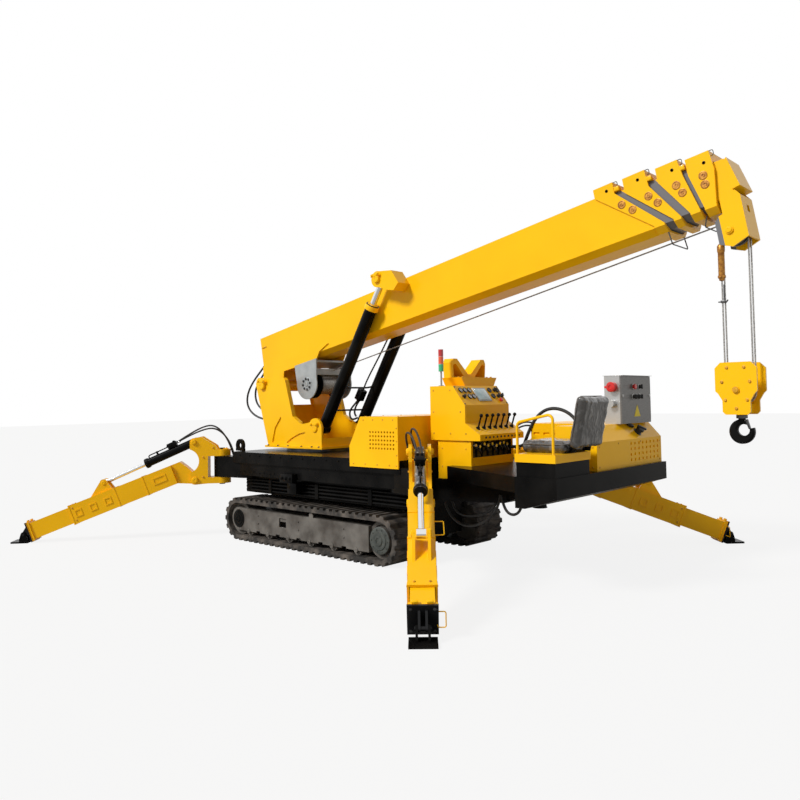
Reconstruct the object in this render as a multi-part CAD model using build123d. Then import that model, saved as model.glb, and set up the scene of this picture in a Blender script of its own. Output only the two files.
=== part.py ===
from build123d import *
import os
from math import acos, asin, atan2, cos, hypot, pi, radians, sin

# Mini crawler crane with a five-section boom and four folding outriggers, standing on its feet.
# All sizes are millimetres. While it is drawn, X = 0 is the middle of the tracks, +X points to the
# driver's end, Y = 0 is the centre plane and Z = 0 is the floor.

# The gap left between two pieces where one rests on or runs in the other
SEAT_GAP = 0.3

# Tracks
TRACK_CENTRE_Y = 630
TRACK_WIDTH = 400
TRACK_MIDDLE_X = -30
TRACK_LENGTH = 2740
TRACK_HEIGHT = 480
BELT_THICKNESS = 36
LUG_HEIGHT = 24
LUG_COUNT = 62
LUG_FOOT = 0.62
LUG_TIP = 0.42

# Track frames, one inside each belt
FRAME_REAR_X = -1150
FRAME_FRONT_X = 950
FRAME_TOP_Z = 362
FRAME_BOTTOM_Z = 112
FRAME_PLATE = 14
FRAME_SIDE_GAP = 24
ROLLER_RADIUS = 52
ROLLER_COUNT = 6
ROLLER_AXLE_RADIUS = 18
HUB_RADIUS = 60
FRAME_WINDOW = (-425, -305, 215, 310)
FRAME_EAR_X = 105
FRAME_EAR_RADIUS = 42

# Chassis between the tracks, and the deck over them
CHASSIS_HALF_WIDTH = 330
CHASSIS_REAR_X = -1180
CHASSIS_FRONT_X = 1180
CHASSIS_BOTTOM_Z = 190
CROSS_BEAM_X = (-620, 560)
CROSS_BEAM_WIDTH = 260
CROSS_BEAM_LOW_Z = 180
CROSS_BEAM_HIGH_Z = 340
BED_HALF_WIDTH = 660
BED_BOTTOM_Z = 530
DECK_HALF_WIDTH = 830
DECK_REAR_X = -1240
DECK_FRONT_X = 1400
DECK_BOTTOM_Z = 735
DECK_TOP_Z = 1000
DECK_EDGE = 125
DECK_RECESS = 30

# Pipes along both long sides
PIPE_RADIUS = 14
PIPE_ROWS = 4
PIPE_PITCH = 38
PIPE_LOW_Z = 564
PIPE_REAR_X = -1150
PIPE_FRONT_X = 1380
PIPE_STANDOFF = 34
PIPE_CLAMP_X = (-700, 90, 880)
PIPE_CLAMP_WIDTH = 50

# Driver's end platform
PLATFORM_END_X = 3120
PLATFORM_WIDE_LENGTH = 375
PLATFORM_WIDE_X = PLATFORM_END_X - PLATFORM_WIDE_LENGTH
PLATFORM_ROOT_X = 1700
PLATFORM_HALF_WIDTH = 965
PLATFORM_ROOT_HALF_WIDTH = 520
PLATFORM_BOTTOM_Z = 820
PLATFORM_TOP_Z = 945
SKIRT_LOW_Z = 702
SKIRT_LENGTH = 90
SKIRT_END_Z = 788
BELLY_FRONT_X = 2760
BELLY_LOW_X = 2300
BELLY_LOW_Z = 610
BELLY_HALF_WIDTH = 480

# Outriggers
PIVOT_INSET = 50
REAR_PIVOT_REACH = 290
FRONT_PIVOT_REACH = 200
PIVOT_Y = DECK_HALF_WIDTH - PIVOT_INSET
REAR_PIVOT_X = DECK_REAR_X - REAR_PIVOT_REACH
FRONT_PIVOT_X = DECK_FRONT_X + FRONT_PIVOT_REACH
# A row each: name, the vertical pin's x and y, the sides that the arm points to along
# X and Y, its splay in degrees, and how far out its ankle is
OUTRIGGERS = (
    ("rear_near", REAR_PIVOT_X, -PIVOT_Y, -1, -1, 48.1, 2245),
    ("rear_far", REAR_PIVOT_X, PIVOT_Y, -1, 1, 48.1, 2245),
    ("front_near", FRONT_PIVOT_X, -PIVOT_Y, 1, -1, 48.4, 1930),
    ("front_far", FRONT_PIVOT_X, PIVOT_Y, 1, 1, 44.8, 2215),
)
KNUCKLE_LOW_Z = 700
KNUCKLE_HIGH_Z = 938
KNUCKLE_RADIUS = 92
PIVOT_PIN_RADIUS = 34
PIVOT_PIN_CAP = 16
JAW_RADIUS = 100
JAW_GAP = 4
LOW_JAW_Z = 625
HIGH_JAW_Z = 1018
YOKE_WIDTH = 196
YOKE_SPINE_NEAR = 150
YOKE_SPINE_FAR = 238
YOKE_CHEEK = 30
ARM_PIN = (300, 668)
ARM_PIN_RADIUS = 26
CYLINDER_PIN = (312, 1110)
CYLINDER_PIN_RADIUS = 22
YOKE_TOP_Z = 1170
ARM_WIDTH = 200
ARM_HEIGHT = 225
ARM_WALL = 12
ARM_START = 200
ARM_END = 1436
ARM_AXIS_RISE = 152
ARM_BAND = 14
ARM_BAND_PLACES = (540, 880, 1422)
ARM_WINDOW = 84
ARM_WINDOW_PLACES = (994, 1170, 1346)
ARM_ROOT_WIDTH = 132
ARM_ROOT_HEEL = 48
ARM_ROOT_CHAMFER = 70
ARM_CLEARANCE = 5
INNER_WALL = 10
INNER_LENGTH = 1245
INNER_OVERLAP = 300
COLLAR_THICKNESS = 26
COLLAR_STEP = 14
LEG_LUG_PLACE = 981
LEG_LUG_RISE = 99
LEG_LUG_THICKNESS = 22
LEG_BARREL_RADIUS = 48
LEG_BARREL_LENGTH = 620
LEG_ROD_RADIUS = 24
LEG_EYE_RADIUS = 42
LEG_EYE_WIDTH = 70
LEG_EYE_OPENING = 10
END_PLATE = 18
END_PLATE_STEP = 14
ANKLE_Z = 92
ANKLE_PIN_RADIUS = 16
ANKLE_WIDTH = 64
ANKLE_AHEAD = 95
FOOT_AHEAD = 120
FOOT_BEHIND = 68
FOOT_WIDTH = 190
FOOT_PLATE = 18
FOOT_LUG = 16

# Slewing ring and mast
SLEW_X = -600
SLEW_RING_RADIUS = 430
SLEW_RING_HEIGHT = 34
TURNTABLE_PLATE = 22
TURNTABLE_RADIUS = 470
MAST_HALF_WIDTH = 420
MAST_PLATE = 26
MAST_RECESS = 14
MAST_FLANGE = 52
MAST_FLANGE_PLATE = 14
MAST_FLANGE_DROP = 70
MAST_FLANGE_END_X = -405
MAST_WINDOWS = (
    ((-1040, 1090), (-985, 1262), (-872, 1392), (-828, 1263), (-790, 1094)),
    ((-770, 1092), (-712, 1130), (-632, 1166), (-540, 1200), (-438, 1218), (-438, 1092)),
)
MAST_TOP_REAR_X = -1345
MAST_TOP_FRONT_X = -785
MAST_TOP_Z = 1855
MAST_FOOT_REAR_X = -1112
MAST_FOOT_FRONT_X = -155
MAST_NECK_X = -655
MAST_NECK_Z = 1395
MAST_KNEE_X = -500
MAST_KNEE_Z = 1306
MAST_EAR_RADIUS = 112
BOOM_PIVOT_X = -1200
BOOM_PIVOT_Z = 1760
BOOM_PIN_RADIUS = 45
BOOM_BOSS_RADIUS = 95
LUFF_PIN_X = -267
LUFF_PIN_Z = 1262
LUFF_PIN_RADIUS = 40
LUFF_CENTRE_Y = 286

# Boom, drawn along u from its pivot, with w square to it
BOOM_REST_DEG = 10.45
BOOM_HALF_WIDTH = 200
BOOM_TOP_W = 645
BOOM_RIDGE_W = 222
BOOM_BELLY_W = 178
BOOM_BELLY_HALF_WIDTH = 120
BOOM_WALL = 8
BOOM_SLIDE_GAP = 10
BOOM_REAR_U = -230
BOOM_PAD_LENGTH = 120
BOOM_TUCK = 130
COLLAR_SIDE = 15
# Head collars: u of the top rear, top front, knee, bottom front and bottom rear, then w of the knee
# and of the top edge
COLLARS = (
    (4486, 4663, 4662, 5010, 4925, 617, 714),
    (4742, 4933, 4941, 5138, 5078, 571, 712),
    (5013, 5192, 5210, 5281, 5205, 551, 690),
    (5244, 5428, 5440, 5400, 5310, 518, 668),
)
COLLAR_LOW_W = 236
TIP_U = 5520
HEAD_LENGTH = 105
HEAD_ROOT_U = TIP_U - HEAD_LENGTH
HEAD_PLATE = 16
HEAD_PIN = (5436, 34)
HEAD_SHEAVE_RADIUS = 100
HEAD_SHEAVE_WIDTH = 30
HEAD_SHEAVE_COUNT = 2
HEAD_SHEAVE_PITCH = 56
HEAD_WINDOW = 50

# Lugs on the boom's sides that take the luffing cylinders' rods
LUFF_EYE = (2050, 690)
LUFF_LUG_HALF_WIDTH = 372
LUFF_LUG_PLATE = 26
LUFF_LUG_RADIUS = 84
LUFF_LUG_BASE_U = (1930, 2330)
LUFF_BARREL_RADIUS = 66
LUFF_ROD_SHOWS = 285.7
LUFF_GLAND_RADIUS = 72
LUFF_GLAND_LENGTH = 62
LUFF_ROD_RADIUS = 34
LUFF_BARREL_BASE = 130
LUFF_ROD_TAIL = 150
LUFF_EYE_RADIUS = 54
LUFF_EYE_WIDTH = 96
LUFF_ROD_EYE_WIDTH = 84
CYLINDER_SIDE_GAP = 6
LUFF_PIN_STUB = 20

# Foot of the boom, and the winch under it
BOOM_FOOT_W = 150
BOOM_FOOT_FRONT_U = 770
BOOM_FOOT_PLATE = 14
BOOM_FOOT_RADIUS = 125
WINCH_PLATE_HALF_WIDTH = 272
WINCH_PLATE = 14
WINCH_AXIS = (618, -112)
WINCH_PLATE_RADIUS = 176
WINCH_PLATE_TOP_U = (444, 836)
DRUM_RADIUS = 105
DRUM_FLANGE_RADIUS = 165
DRUM_FLANGE = 14
DRUM_HALF_WIDTH = 175
WINCH_MOTOR_RADIUS = 78
WINCH_MOTOR_LENGTH = 60

# Hook block
HOOK_DROP_TOP = 985
BLOCK_WIDTH = 300
BLOCK_HEIGHT = 390
BLOCK_CORNER = 42
BLOCK_TAB_WIDTH = 200
BLOCK_TAB_HEIGHT = 105
BLOCK_HALF_THICKNESS = 110
BLOCK_PLATE = 20
BLOCK_SHEAVE_RADIUS = 100
BLOCK_SHEAVE_HEIGHT = 205
ROPE_RADIUS = 6
CROSSHEAD_RISE = 10
HOOK_SHANK_RADIUS = 30
HOOK_OUTER_RADIUS = 92
HOOK_BOWL_RADIUS = 43
HOOK_BOWL_SHIFT = (13, 12)
HOOK_THICKNESS = 54
HOOK_EDGE = 14
HOOK_DROP = 128

# Engine cover
COVER_REAR_X = 745
COVER_FRONT_X = 1392
COVER_HALF_WIDTH = 846
COVER_LOW_Z = 925
COVER_TOP_Z = 1405
COVER_CHAMFER_X = 155
COVER_CHAMFER_Z = 280
COVER_WALL = 12
COVER_HOLE = 17
COVER_HOLES_LONG = 9
COVER_HOLES_HIGH = 5
COVER_HOLE_PITCH = 38
COVER_HOLES_X = 1032
COVER_HOLES_Z = 1108

# Control console with its boom rest and signal lamp
CONSOLE_LOW = (1530, 1920)
CONSOLE_LOW_Y = (-440, 220)
CONSOLE_LOW_Z = 700
CONSOLE_WAIST_Z = 1178
CONSOLE_Y = (-460, 230)
CONSOLE_REAR_X = 1460
CONSOLE_TOP_X = 1735
CONSOLE_TOP_Z = 1682
CONSOLE_FACE_X = 1875
CONSOLE_FACE_TOP_Z = 1500
CONSOLE_FACE_LOW_Z = 1335
CONSOLE_LEDGE_X = 2040
CONSOLE_LEDGE_Z = 1232
REST_X = 1520
REST_TRAY_X = (1462, 1700)
REST_TRAY_HEIGHT = 82
REST_WALL = 9
REST_VALLEY = 22
REST_HALF_WIDTH = 262
REST_TIP_Z = 1948
REST_VALLEY_Z = 1800
REST_THICKNESS = 116
REST_TIP_WIDTH = 50
POCKET_DEPTH = 120
POCKET_MARGIN = 26
POCKET_LOW_Z = 1020
LEVER_COUNT = 7
LEVER_RADIUS = 8
LEVER_LENGTH = 120
LEVER_BOOT_RADIUS = 18
LEVER_BOOT_DEPTH = 18
LAMP_PLACE = (1530, -375)
LAMP_RADIUS = 24
LAMP_LENGTH = 290

# Driver's seat and its stand
TRAY_MIDDLE = (2926, -690)
SEAT_MIDDLE = (2905, -606)
SEAT_STAND_LENGTH = 350
SEAT_STAND_WIDTH = 510
SEAT_STAND_Z = 1058
SEAT_TRAY = (366, 530)
SEAT_TRAY_Z = 1122
SEAT_CUSHION = (430, 450, 95)
SEAT_CORNER = 55
SEAT_BACK_RISE = 35
SEAT_BACK_HEIGHT = 440
SEAT_BACK_THICKNESS = 85
SEAT_BACK_LEAN_DEG = 12
RAIL_RADIUS = 11
RAIL_TOP_Z = (1365, 1432)
RAIL_BEND = 40

# End cover and electric cabinet
END_COVER_X = 3085
END_COVER_Y = (-275, 945)
END_COVER_FOLD_Z = 1180
END_COVER_TOP_X = 2965
END_COVER_TOP_Z = 1312
END_COVER_REAR_X = 2080
END_COVER_STEP_Y = 300
END_COVER_FLANK = 620
END_HOLES_LONG = 8
END_HOLES_HIGH = 4
END_HOLE = 24
END_HOLE_DEPTH = 14
END_HOLE_PITCH = 76
END_HOLES_Y = 335
END_HOLES_Z = 1000
END_SLOTS = 4
END_SLOT = 66
END_SLOT_PITCH = 110
END_SLOTS_X = 2140
END_SLOTS_Z = 1215
CABINET_X = (2862, 3010)
CABINET_Y = (300, 880)
CABINET_Z = 1740
CABINET_DOOR = 14
HINGE_RADIUS = 7

# Engine
ENGINE = (880, 1300, -420, 420, 1300)

# Ring for lifting and tying down, at each rear corner
RING_PLACE = (-1285, 690)
RING_OUTER_RADIUS = 75
RING_INNER_RADIUS = 33
RING_THICKNESS = 30
RING_RISE = 62


def box(x, y, z):
    """A block between two limits along each axis."""
    middle = ((x[0] + x[1]) / 2, (y[0] + y[1]) / 2, (z[0] + z[1]) / 2)
    return Pos(*middle) * Box(x[1] - x[0], y[1] - y[0], z[1] - z[0])


def outline(points):
    """A flat face through the points."""
    return make_face(Polyline(points, close=True))


def upright(face, y_low, y_high):
    """A plate that stands in X and Z: the face's own x and y become X and Z."""
    standing = Plane(origin=(0, y_high, 0), x_dir=(1, 0, 0), z_dir=(0, -1, 0))
    return standing * extrude(face, amount=y_high - y_low)


def crosswise(face, x_low, x_high):
    """A bar along X: the face's own x and y become Y and Z."""
    standing = Plane(origin=(x_low, 0, 0), x_dir=(0, 1, 0), z_dir=(1, 0, 0))
    return standing * extrude(face, amount=x_high - x_low)


def disc(x, z, radius, y_low, y_high):
    """A round boss or pin whose axis is along Y."""
    return upright(Pos(x, z) * Circle(radius), y_low, y_high)


def round_bar(start, end, radius):
    """A round bar between two points."""
    way = Vector(*end) - Vector(*start)
    return Plane(origin=start, z_dir=way) * extrude(Circle(radius), amount=way.length)


def bent_tube(points, bend_radius, radius):
    """A tube along straight runs that are joined by bends of one radius."""
    path = FilletPolyline(*points, radius=bend_radius)
    return sweep(Plane(origin=path @ 0, z_dir=path % 0) * Circle(radius), path=path)


def link_face(start, start_radius, end, end_radius):
    """Two discs and the straight sides that touch both, as on a lug."""
    gap = hypot(end[0] - start[0], end[1] - start[1])
    way = atan2(end[1] - start[1], end[0] - start[0])
    lean = acos((start_radius - end_radius) / gap)
    corners = []
    for centre, radius, turn in (
        (start, start_radius, way + lean),
        (end, end_radius, way + lean),
        (end, end_radius, way - lean),
        (start, start_radius, way - lean),
    ):
        corners.append((centre[0] + radius * cos(turn), centre[1] + radius * sin(turn)))
    return Pos(*start) * Circle(start_radius) + Pos(*end) * Circle(end_radius) + outline(corners)


def ride_on_side(shape, side):
    """Mirror a piece drawn at -Y when it belongs to the far side."""
    return shape if side < 0 else mirror(shape, about=Plane.XZ)


# Tracks


def belt_point(distance, height, radius, run):
    """A point on the belt's loop, at a distance along it and a height above its middle line."""
    arc = pi * radius
    loop = 2 * (run + arc)
    distance = distance % loop
    reach = radius + height
    if distance < run:
        return distance - run / 2, -reach
    distance -= run
    if distance < arc:
        turn = distance / radius - pi / 2
        return run / 2 + reach * cos(turn), reach * sin(turn)
    distance -= arc
    if distance < run:
        return run / 2 - distance, reach
    turn = (distance - run) / radius + pi / 2
    return -run / 2 + reach * cos(turn), reach * sin(turn)


BELT_RADIUS = TRACK_HEIGHT / 2 - LUG_HEIGHT
BELT_RUN = TRACK_LENGTH - TRACK_HEIGHT
WHEEL_RADIUS = BELT_RADIUS - BELT_THICKNESS - SEAT_GAP
TRACK_AXLE_Z = TRACK_HEIGHT / 2


def track_belt():
    """One closed belt with its lugs standing out of it."""
    loop = 2 * (BELT_RUN + pi * BELT_RADIUS)
    pitch = loop / LUG_COUNT
    points = []
    for lug in range(LUG_COUNT):
        for share, height in (
            (-LUG_FOOT / 2, 0),
            (-LUG_TIP / 2, LUG_HEIGHT),
            (LUG_TIP / 2, LUG_HEIGHT),
            (LUG_FOOT / 2, 0),
        ):
            points.append(belt_point((lug + 0.5 + share) * pitch, height, BELT_RADIUS, BELT_RUN))
    inner_height = 2 * (BELT_RADIUS - BELT_THICKNESS)
    face = outline(points) - SlotOverall(BELT_RUN + inner_height, inner_height)
    face = Pos(TRACK_MIDDLE_X, TRACK_AXLE_Z) * face
    return upright(face, -TRACK_CENTRE_Y - TRACK_WIDTH / 2, -TRACK_CENTRE_Y + TRACK_WIDTH / 2)


def track_wheel(x):
    """A sprocket or idler: a rim, a thinner web and a hub, with its axle along Y."""
    half = TRACK_WIDTH / 2 - FRAME_SIDE_GAP
    outer = -TRACK_CENTRE_Y - half
    inner = -TRACK_CENTRE_Y + half
    rim = disc(x, TRACK_AXLE_Z, WHEEL_RADIUS, outer + 40, inner - 40)
    recess = disc(x, TRACK_AXLE_Z, WHEEL_RADIUS - 34, outer + 40, outer + 70)
    hub = disc(x, TRACK_AXLE_Z, WHEEL_RADIUS - 50, outer, outer + 75)
    return rim - recess + hub


def track_frame():
    """The long frame inside one belt, with its rollers, sprocket, idler and top roller."""
    outer = -TRACK_CENTRE_Y - TRACK_WIDTH / 2 + FRAME_SIDE_GAP
    inner = -TRACK_CENTRE_Y + TRACK_WIDTH / 2 - FRAME_SIDE_GAP
    profile = outline(
        [
            (FRAME_REAR_X, FRAME_BOTTOM_Z + 40),
            (FRAME_REAR_X + 30, FRAME_BOTTOM_Z),
            (FRAME_FRONT_X, FRAME_BOTTOM_Z),
            (FRAME_FRONT_X, FRAME_TOP_Z),
            (FRAME_REAR_X, FRAME_TOP_Z),
        ]
    )
    pitch = (FRAME_FRONT_X - FRAME_REAR_X) / ROLLER_COUNT
    roller_z = TRACK_AXLE_Z - BELT_RADIUS + BELT_THICKNESS + ROLLER_RADIUS + SEAT_GAP
    roller_places = [FRAME_REAR_X + (i + 0.5) * pitch for i in range(ROLLER_COUNT)]
    channel = box(
        (FRAME_REAR_X - 1, FRAME_FRONT_X - FRAME_PLATE),
        (outer + FRAME_PLATE, inner - FRAME_PLATE),
        (0, FRAME_TOP_Z - 90),
    )
    frame = upright(profile, outer, inner) - channel
    x_low, x_high, z_low, z_high = FRAME_WINDOW
    frame -= box((x_low, x_high), (outer - 1, outer + FRAME_PLATE + 1), (z_low, z_high))
    for place in roller_places[1:]:
        scallop = place - pitch / 2
        frame -= box(
            (scallop - 34, scallop + 34), (outer - 1, inner + 1), (0, FRAME_BOTTOM_Z + 18)
        )
    ear = link_face(
        (FRAME_EAR_X, FRAME_TOP_Z + 22), FRAME_EAR_RADIUS * 0.7, (FRAME_EAR_X, FRAME_TOP_Z - 40),
        FRAME_EAR_RADIUS,
    )
    frame += upright(ear, outer, outer + FRAME_PLATE)
    for place in roller_places:
        frame += disc(place, roller_z, ROLLER_AXLE_RADIUS, outer + FRAME_PLATE / 2, inner - 2)
        for side in (outer + FRAME_PLATE + 8, inner - FRAME_PLATE - 98):
            frame += disc(place, roller_z, ROLLER_RADIUS, side, side + 90)
    for wheel_x, root_x in (
        (TRACK_MIDDLE_X - BELT_RUN / 2, FRAME_REAR_X + 1),
        (TRACK_MIDDLE_X + BELT_RUN / 2, FRAME_FRONT_X - 1),
    ):
        x_ends = sorted((wheel_x, root_x))
        fork = box(x_ends, (inner - 70, inner), (TRACK_AXLE_Z - 50, TRACK_AXLE_Z + 50))
        frame += track_wheel(wheel_x) + fork
    return frame


# Chassis, deck and platform


def pivot_place(row):
    """Where an outrigger's vertical pin stands."""
    return row[1], row[2]


def chassis_frame():
    """The lower frame between the tracks, its cross beams and the bed that carries the deck."""
    lower = box(
        (CHASSIS_REAR_X, CHASSIS_FRONT_X),
        (-CHASSIS_HALF_WIDTH, CHASSIS_HALF_WIDTH),
        (CHASSIS_BOTTOM_Z, BED_BOTTOM_Z + 1),
    )
    inner_face = TRACK_CENTRE_Y - TRACK_WIDTH / 2 + FRAME_SIDE_GAP
    beam_ends = (-inner_face, inner_face)
    for x in CROSS_BEAM_X:
        span = (x - CROSS_BEAM_WIDTH / 2, x + CROSS_BEAM_WIDTH / 2)
        lower += box(span, beam_ends, (CROSS_BEAM_LOW_Z, CROSS_BEAM_HIGH_Z))
    bed = box(
        (DECK_REAR_X + DECK_RECESS, DECK_FRONT_X),
        (-BED_HALF_WIDTH, BED_HALF_WIDTH),
        (BED_BOTTOM_Z, DECK_BOTTOM_Z),
    )
    body = lower + bed
    for row in OUTRIGGERS:
        body -= knuckle(row)
    return body


def knuckle(row):
    """The tongue on the deck's corner that one outrigger's yoke grips."""
    x, y = pivot_place(row)
    root_x = DECK_REAR_X if x < 0 else DECK_FRONT_X
    inboard = 1 if x < 0 else -1
    root_radius = KNUCKLE_RADIUS * 1.45
    root_y = (y / abs(y)) * (DECK_HALF_WIDTH - DECK_RECESS - root_radius)
    root = (root_x + inboard * 90, root_y)
    face = link_face((x, y), KNUCKLE_RADIUS, root, root_radius)
    return Pos(0, 0, KNUCKLE_LOW_Z) * extrude(face, amount=KNUCKLE_HIGH_Z - KNUCKLE_LOW_Z)


def deck():
    """The deck over the tracks: a thick edge, a recessed wall below it and four corner knuckles."""
    edge = box(
        (DECK_REAR_X, DECK_FRONT_X),
        (-DECK_HALF_WIDTH, DECK_HALF_WIDTH),
        (DECK_TOP_Z - DECK_EDGE, DECK_TOP_Z),
    )
    wall = box(
        (DECK_REAR_X, DECK_FRONT_X),
        (-DECK_HALF_WIDTH + DECK_RECESS, DECK_HALF_WIDTH - DECK_RECESS),
        (DECK_BOTTOM_Z, DECK_TOP_Z - DECK_EDGE),
    )
    body = edge + wall
    for row in OUTRIGGERS:
        body += knuckle(row)
        x, y = pivot_place(row)
        pin = Cylinder(PIVOT_PIN_RADIUS, HIGH_JAW_Z - LOW_JAW_Z + 2 * PIVOT_PIN_CAP)
        body += Pos(x, y, (HIGH_JAW_Z + LOW_JAW_Z) / 2) * pin
    return body


def lifting_ring(side):
    """A ring on a foot, welded upright on the deck's rear corner."""
    x, y = RING_PLACE[0], side * RING_PLACE[1]
    centre_z = DECK_TOP_Z + RING_RISE
    ring = disc(x, centre_z, RING_OUTER_RADIUS, y - RING_THICKNESS / 2, y + RING_THICKNESS / 2)
    foot = box(
        (x - RING_OUTER_RADIUS, x + RING_OUTER_RADIUS),
        (y - RING_THICKNESS / 2, y + RING_THICKNESS / 2),
        (DECK_TOP_Z, centre_z - RING_INNER_RADIUS),
    )
    hole = disc(x, centre_z, RING_INNER_RADIUS, y - RING_THICKNESS, y + RING_THICKNESS)
    above = box(
        (x - 200, x + 200), (y - 50, y + 50), (DECK_TOP_Z, centre_z + RING_OUTER_RADIUS + 10)
    )
    return ((ring + foot) & above) - hole


def side_pipes(side):
    """Four steel pipes along one side of the bed, held by clamps."""
    y = -BED_HALF_WIDTH - PIPE_STANDOFF
    pipes = []
    for row in range(PIPE_ROWS):
        z = PIPE_LOW_Z + row * PIPE_PITCH
        pipes.append(round_bar((PIPE_REAR_X, y, z), (PIPE_FRONT_X, y, z), PIPE_RADIUS))
    low = PIPE_LOW_Z - PIPE_RADIUS - 8
    high = PIPE_LOW_Z + (PIPE_ROWS - 1) * PIPE_PITCH + PIPE_RADIUS + 1
    body = pipes[0]
    for pipe in pipes[1:]:
        body += pipe
    for x in PIPE_CLAMP_X:
        body += box(
            (x - PIPE_CLAMP_WIDTH / 2, x + PIPE_CLAMP_WIDTH / 2),
            (y - PIPE_RADIUS - 6, -BED_HALF_WIDTH),
            (low, high),
        )
    return ride_on_side(body, side)


def platform_face():
    """The platform seen from above: narrow at the deck and wide at the driver's end."""
    side = [
        (PLATFORM_ROOT_X, PLATFORM_ROOT_HALF_WIDTH),
        (PLATFORM_WIDE_X, PLATFORM_HALF_WIDTH),
        (PLATFORM_END_X, PLATFORM_HALF_WIDTH),
    ]
    return outline(side + [(x, -y) for x, y in reversed(side)])


def operator_platform():
    """The black platform at the driver's end, with its sloping belly and the beam to the deck."""
    slab = Pos(0, 0, PLATFORM_BOTTOM_Z) * extrude(
        platform_face(), amount=PLATFORM_TOP_Z - PLATFORM_BOTTOM_Z
    )
    belly = outline(
        [
            (DECK_FRONT_X, BELLY_LOW_Z),
            (BELLY_LOW_X, BELLY_LOW_Z + 40),
            (BELLY_FRONT_X, PLATFORM_BOTTOM_Z + 1),
            (CONSOLE_LOW[0], PLATFORM_BOTTOM_Z + 1),
            (CONSOLE_LOW[0], CONSOLE_LOW_Z),
            (DECK_FRONT_X, CONSOLE_LOW_Z),
        ]
    )
    slab += upright(belly, -BELLY_HALF_WIDTH, BELLY_HALF_WIDTH)
    skirt = outline(
        [
            (PLATFORM_WIDE_X, PLATFORM_TOP_Z - 1), (PLATFORM_WIDE_X, SKIRT_LOW_Z),
            (PLATFORM_WIDE_X + SKIRT_LENGTH, SKIRT_LOW_Z), (PLATFORM_END_X, SKIRT_END_Z),
            (PLATFORM_END_X, PLATFORM_TOP_Z - 1),
        ]
    )
    slab += upright(skirt, -PLATFORM_HALF_WIDTH, PLATFORM_HALF_WIDTH)
    console_room = box(
        (CONSOLE_LOW[0] - 40, CONSOLE_LOW[1]), (CONSOLE_LOW_Y[0], CONSOLE_LOW_Y[1]),
        (CONSOLE_LOW_Z, CONSOLE_TOP_Z),
    )
    return slab - console_room


# Outriggers


def outrigger_frame(row):
    """The outrigger's own frame: x runs out along the arm, from the vertical pin at the floor."""
    _, x, y, side_x, side_y, splay, _ = row
    heading = radians(splay)
    way = (side_x * cos(heading), side_y * sin(heading), 0)
    return Plane(origin=(x, y, 0), x_dir=way, z_dir=(0, 0, 1))


def arm_angle(row):
    """How far the arm's axis points below the level, so that the foot stands on the floor."""
    run = row[6] - ARM_PIN[0]
    drop = ARM_PIN[1] - ANKLE_Z
    return atan2(drop, run) + asin(ARM_AXIS_RISE / hypot(run, drop))


def arm_frame(row):
    """The arm's frame: x along its axis, z square to it, origin at the root pin."""
    tilt = arm_angle(row)
    return outrigger_frame(row) * Plane(
        origin=(ARM_PIN[0], 0, ARM_PIN[1]),
        x_dir=(cos(tilt), 0, -sin(tilt)),
        z_dir=(sin(tilt), 0, cos(tilt)),
    ).location


def arm_length(row):
    """From the root pin's foot on the arm's axis to the ankle."""
    run = row[6] - ARM_PIN[0]
    drop = ARM_PIN[1] - ANKLE_Z
    return (hypot(run, drop) ** 2 - ARM_AXIS_RISE**2) ** 0.5


ARM_TOP = ARM_AXIS_RISE + ARM_HEIGHT / 2
ARM_BOTTOM = ARM_AXIS_RISE - ARM_HEIGHT / 2
LEG_EYE = (LEG_LUG_PLACE, ARM_TOP + LEG_LUG_RISE)
INNER_WIDTH = ARM_WIDTH - 2 * (ARM_WALL + ARM_CLEARANCE)
INNER_HEIGHT = ARM_HEIGHT - 2 * (ARM_WALL + ARM_CLEARANCE)


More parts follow.
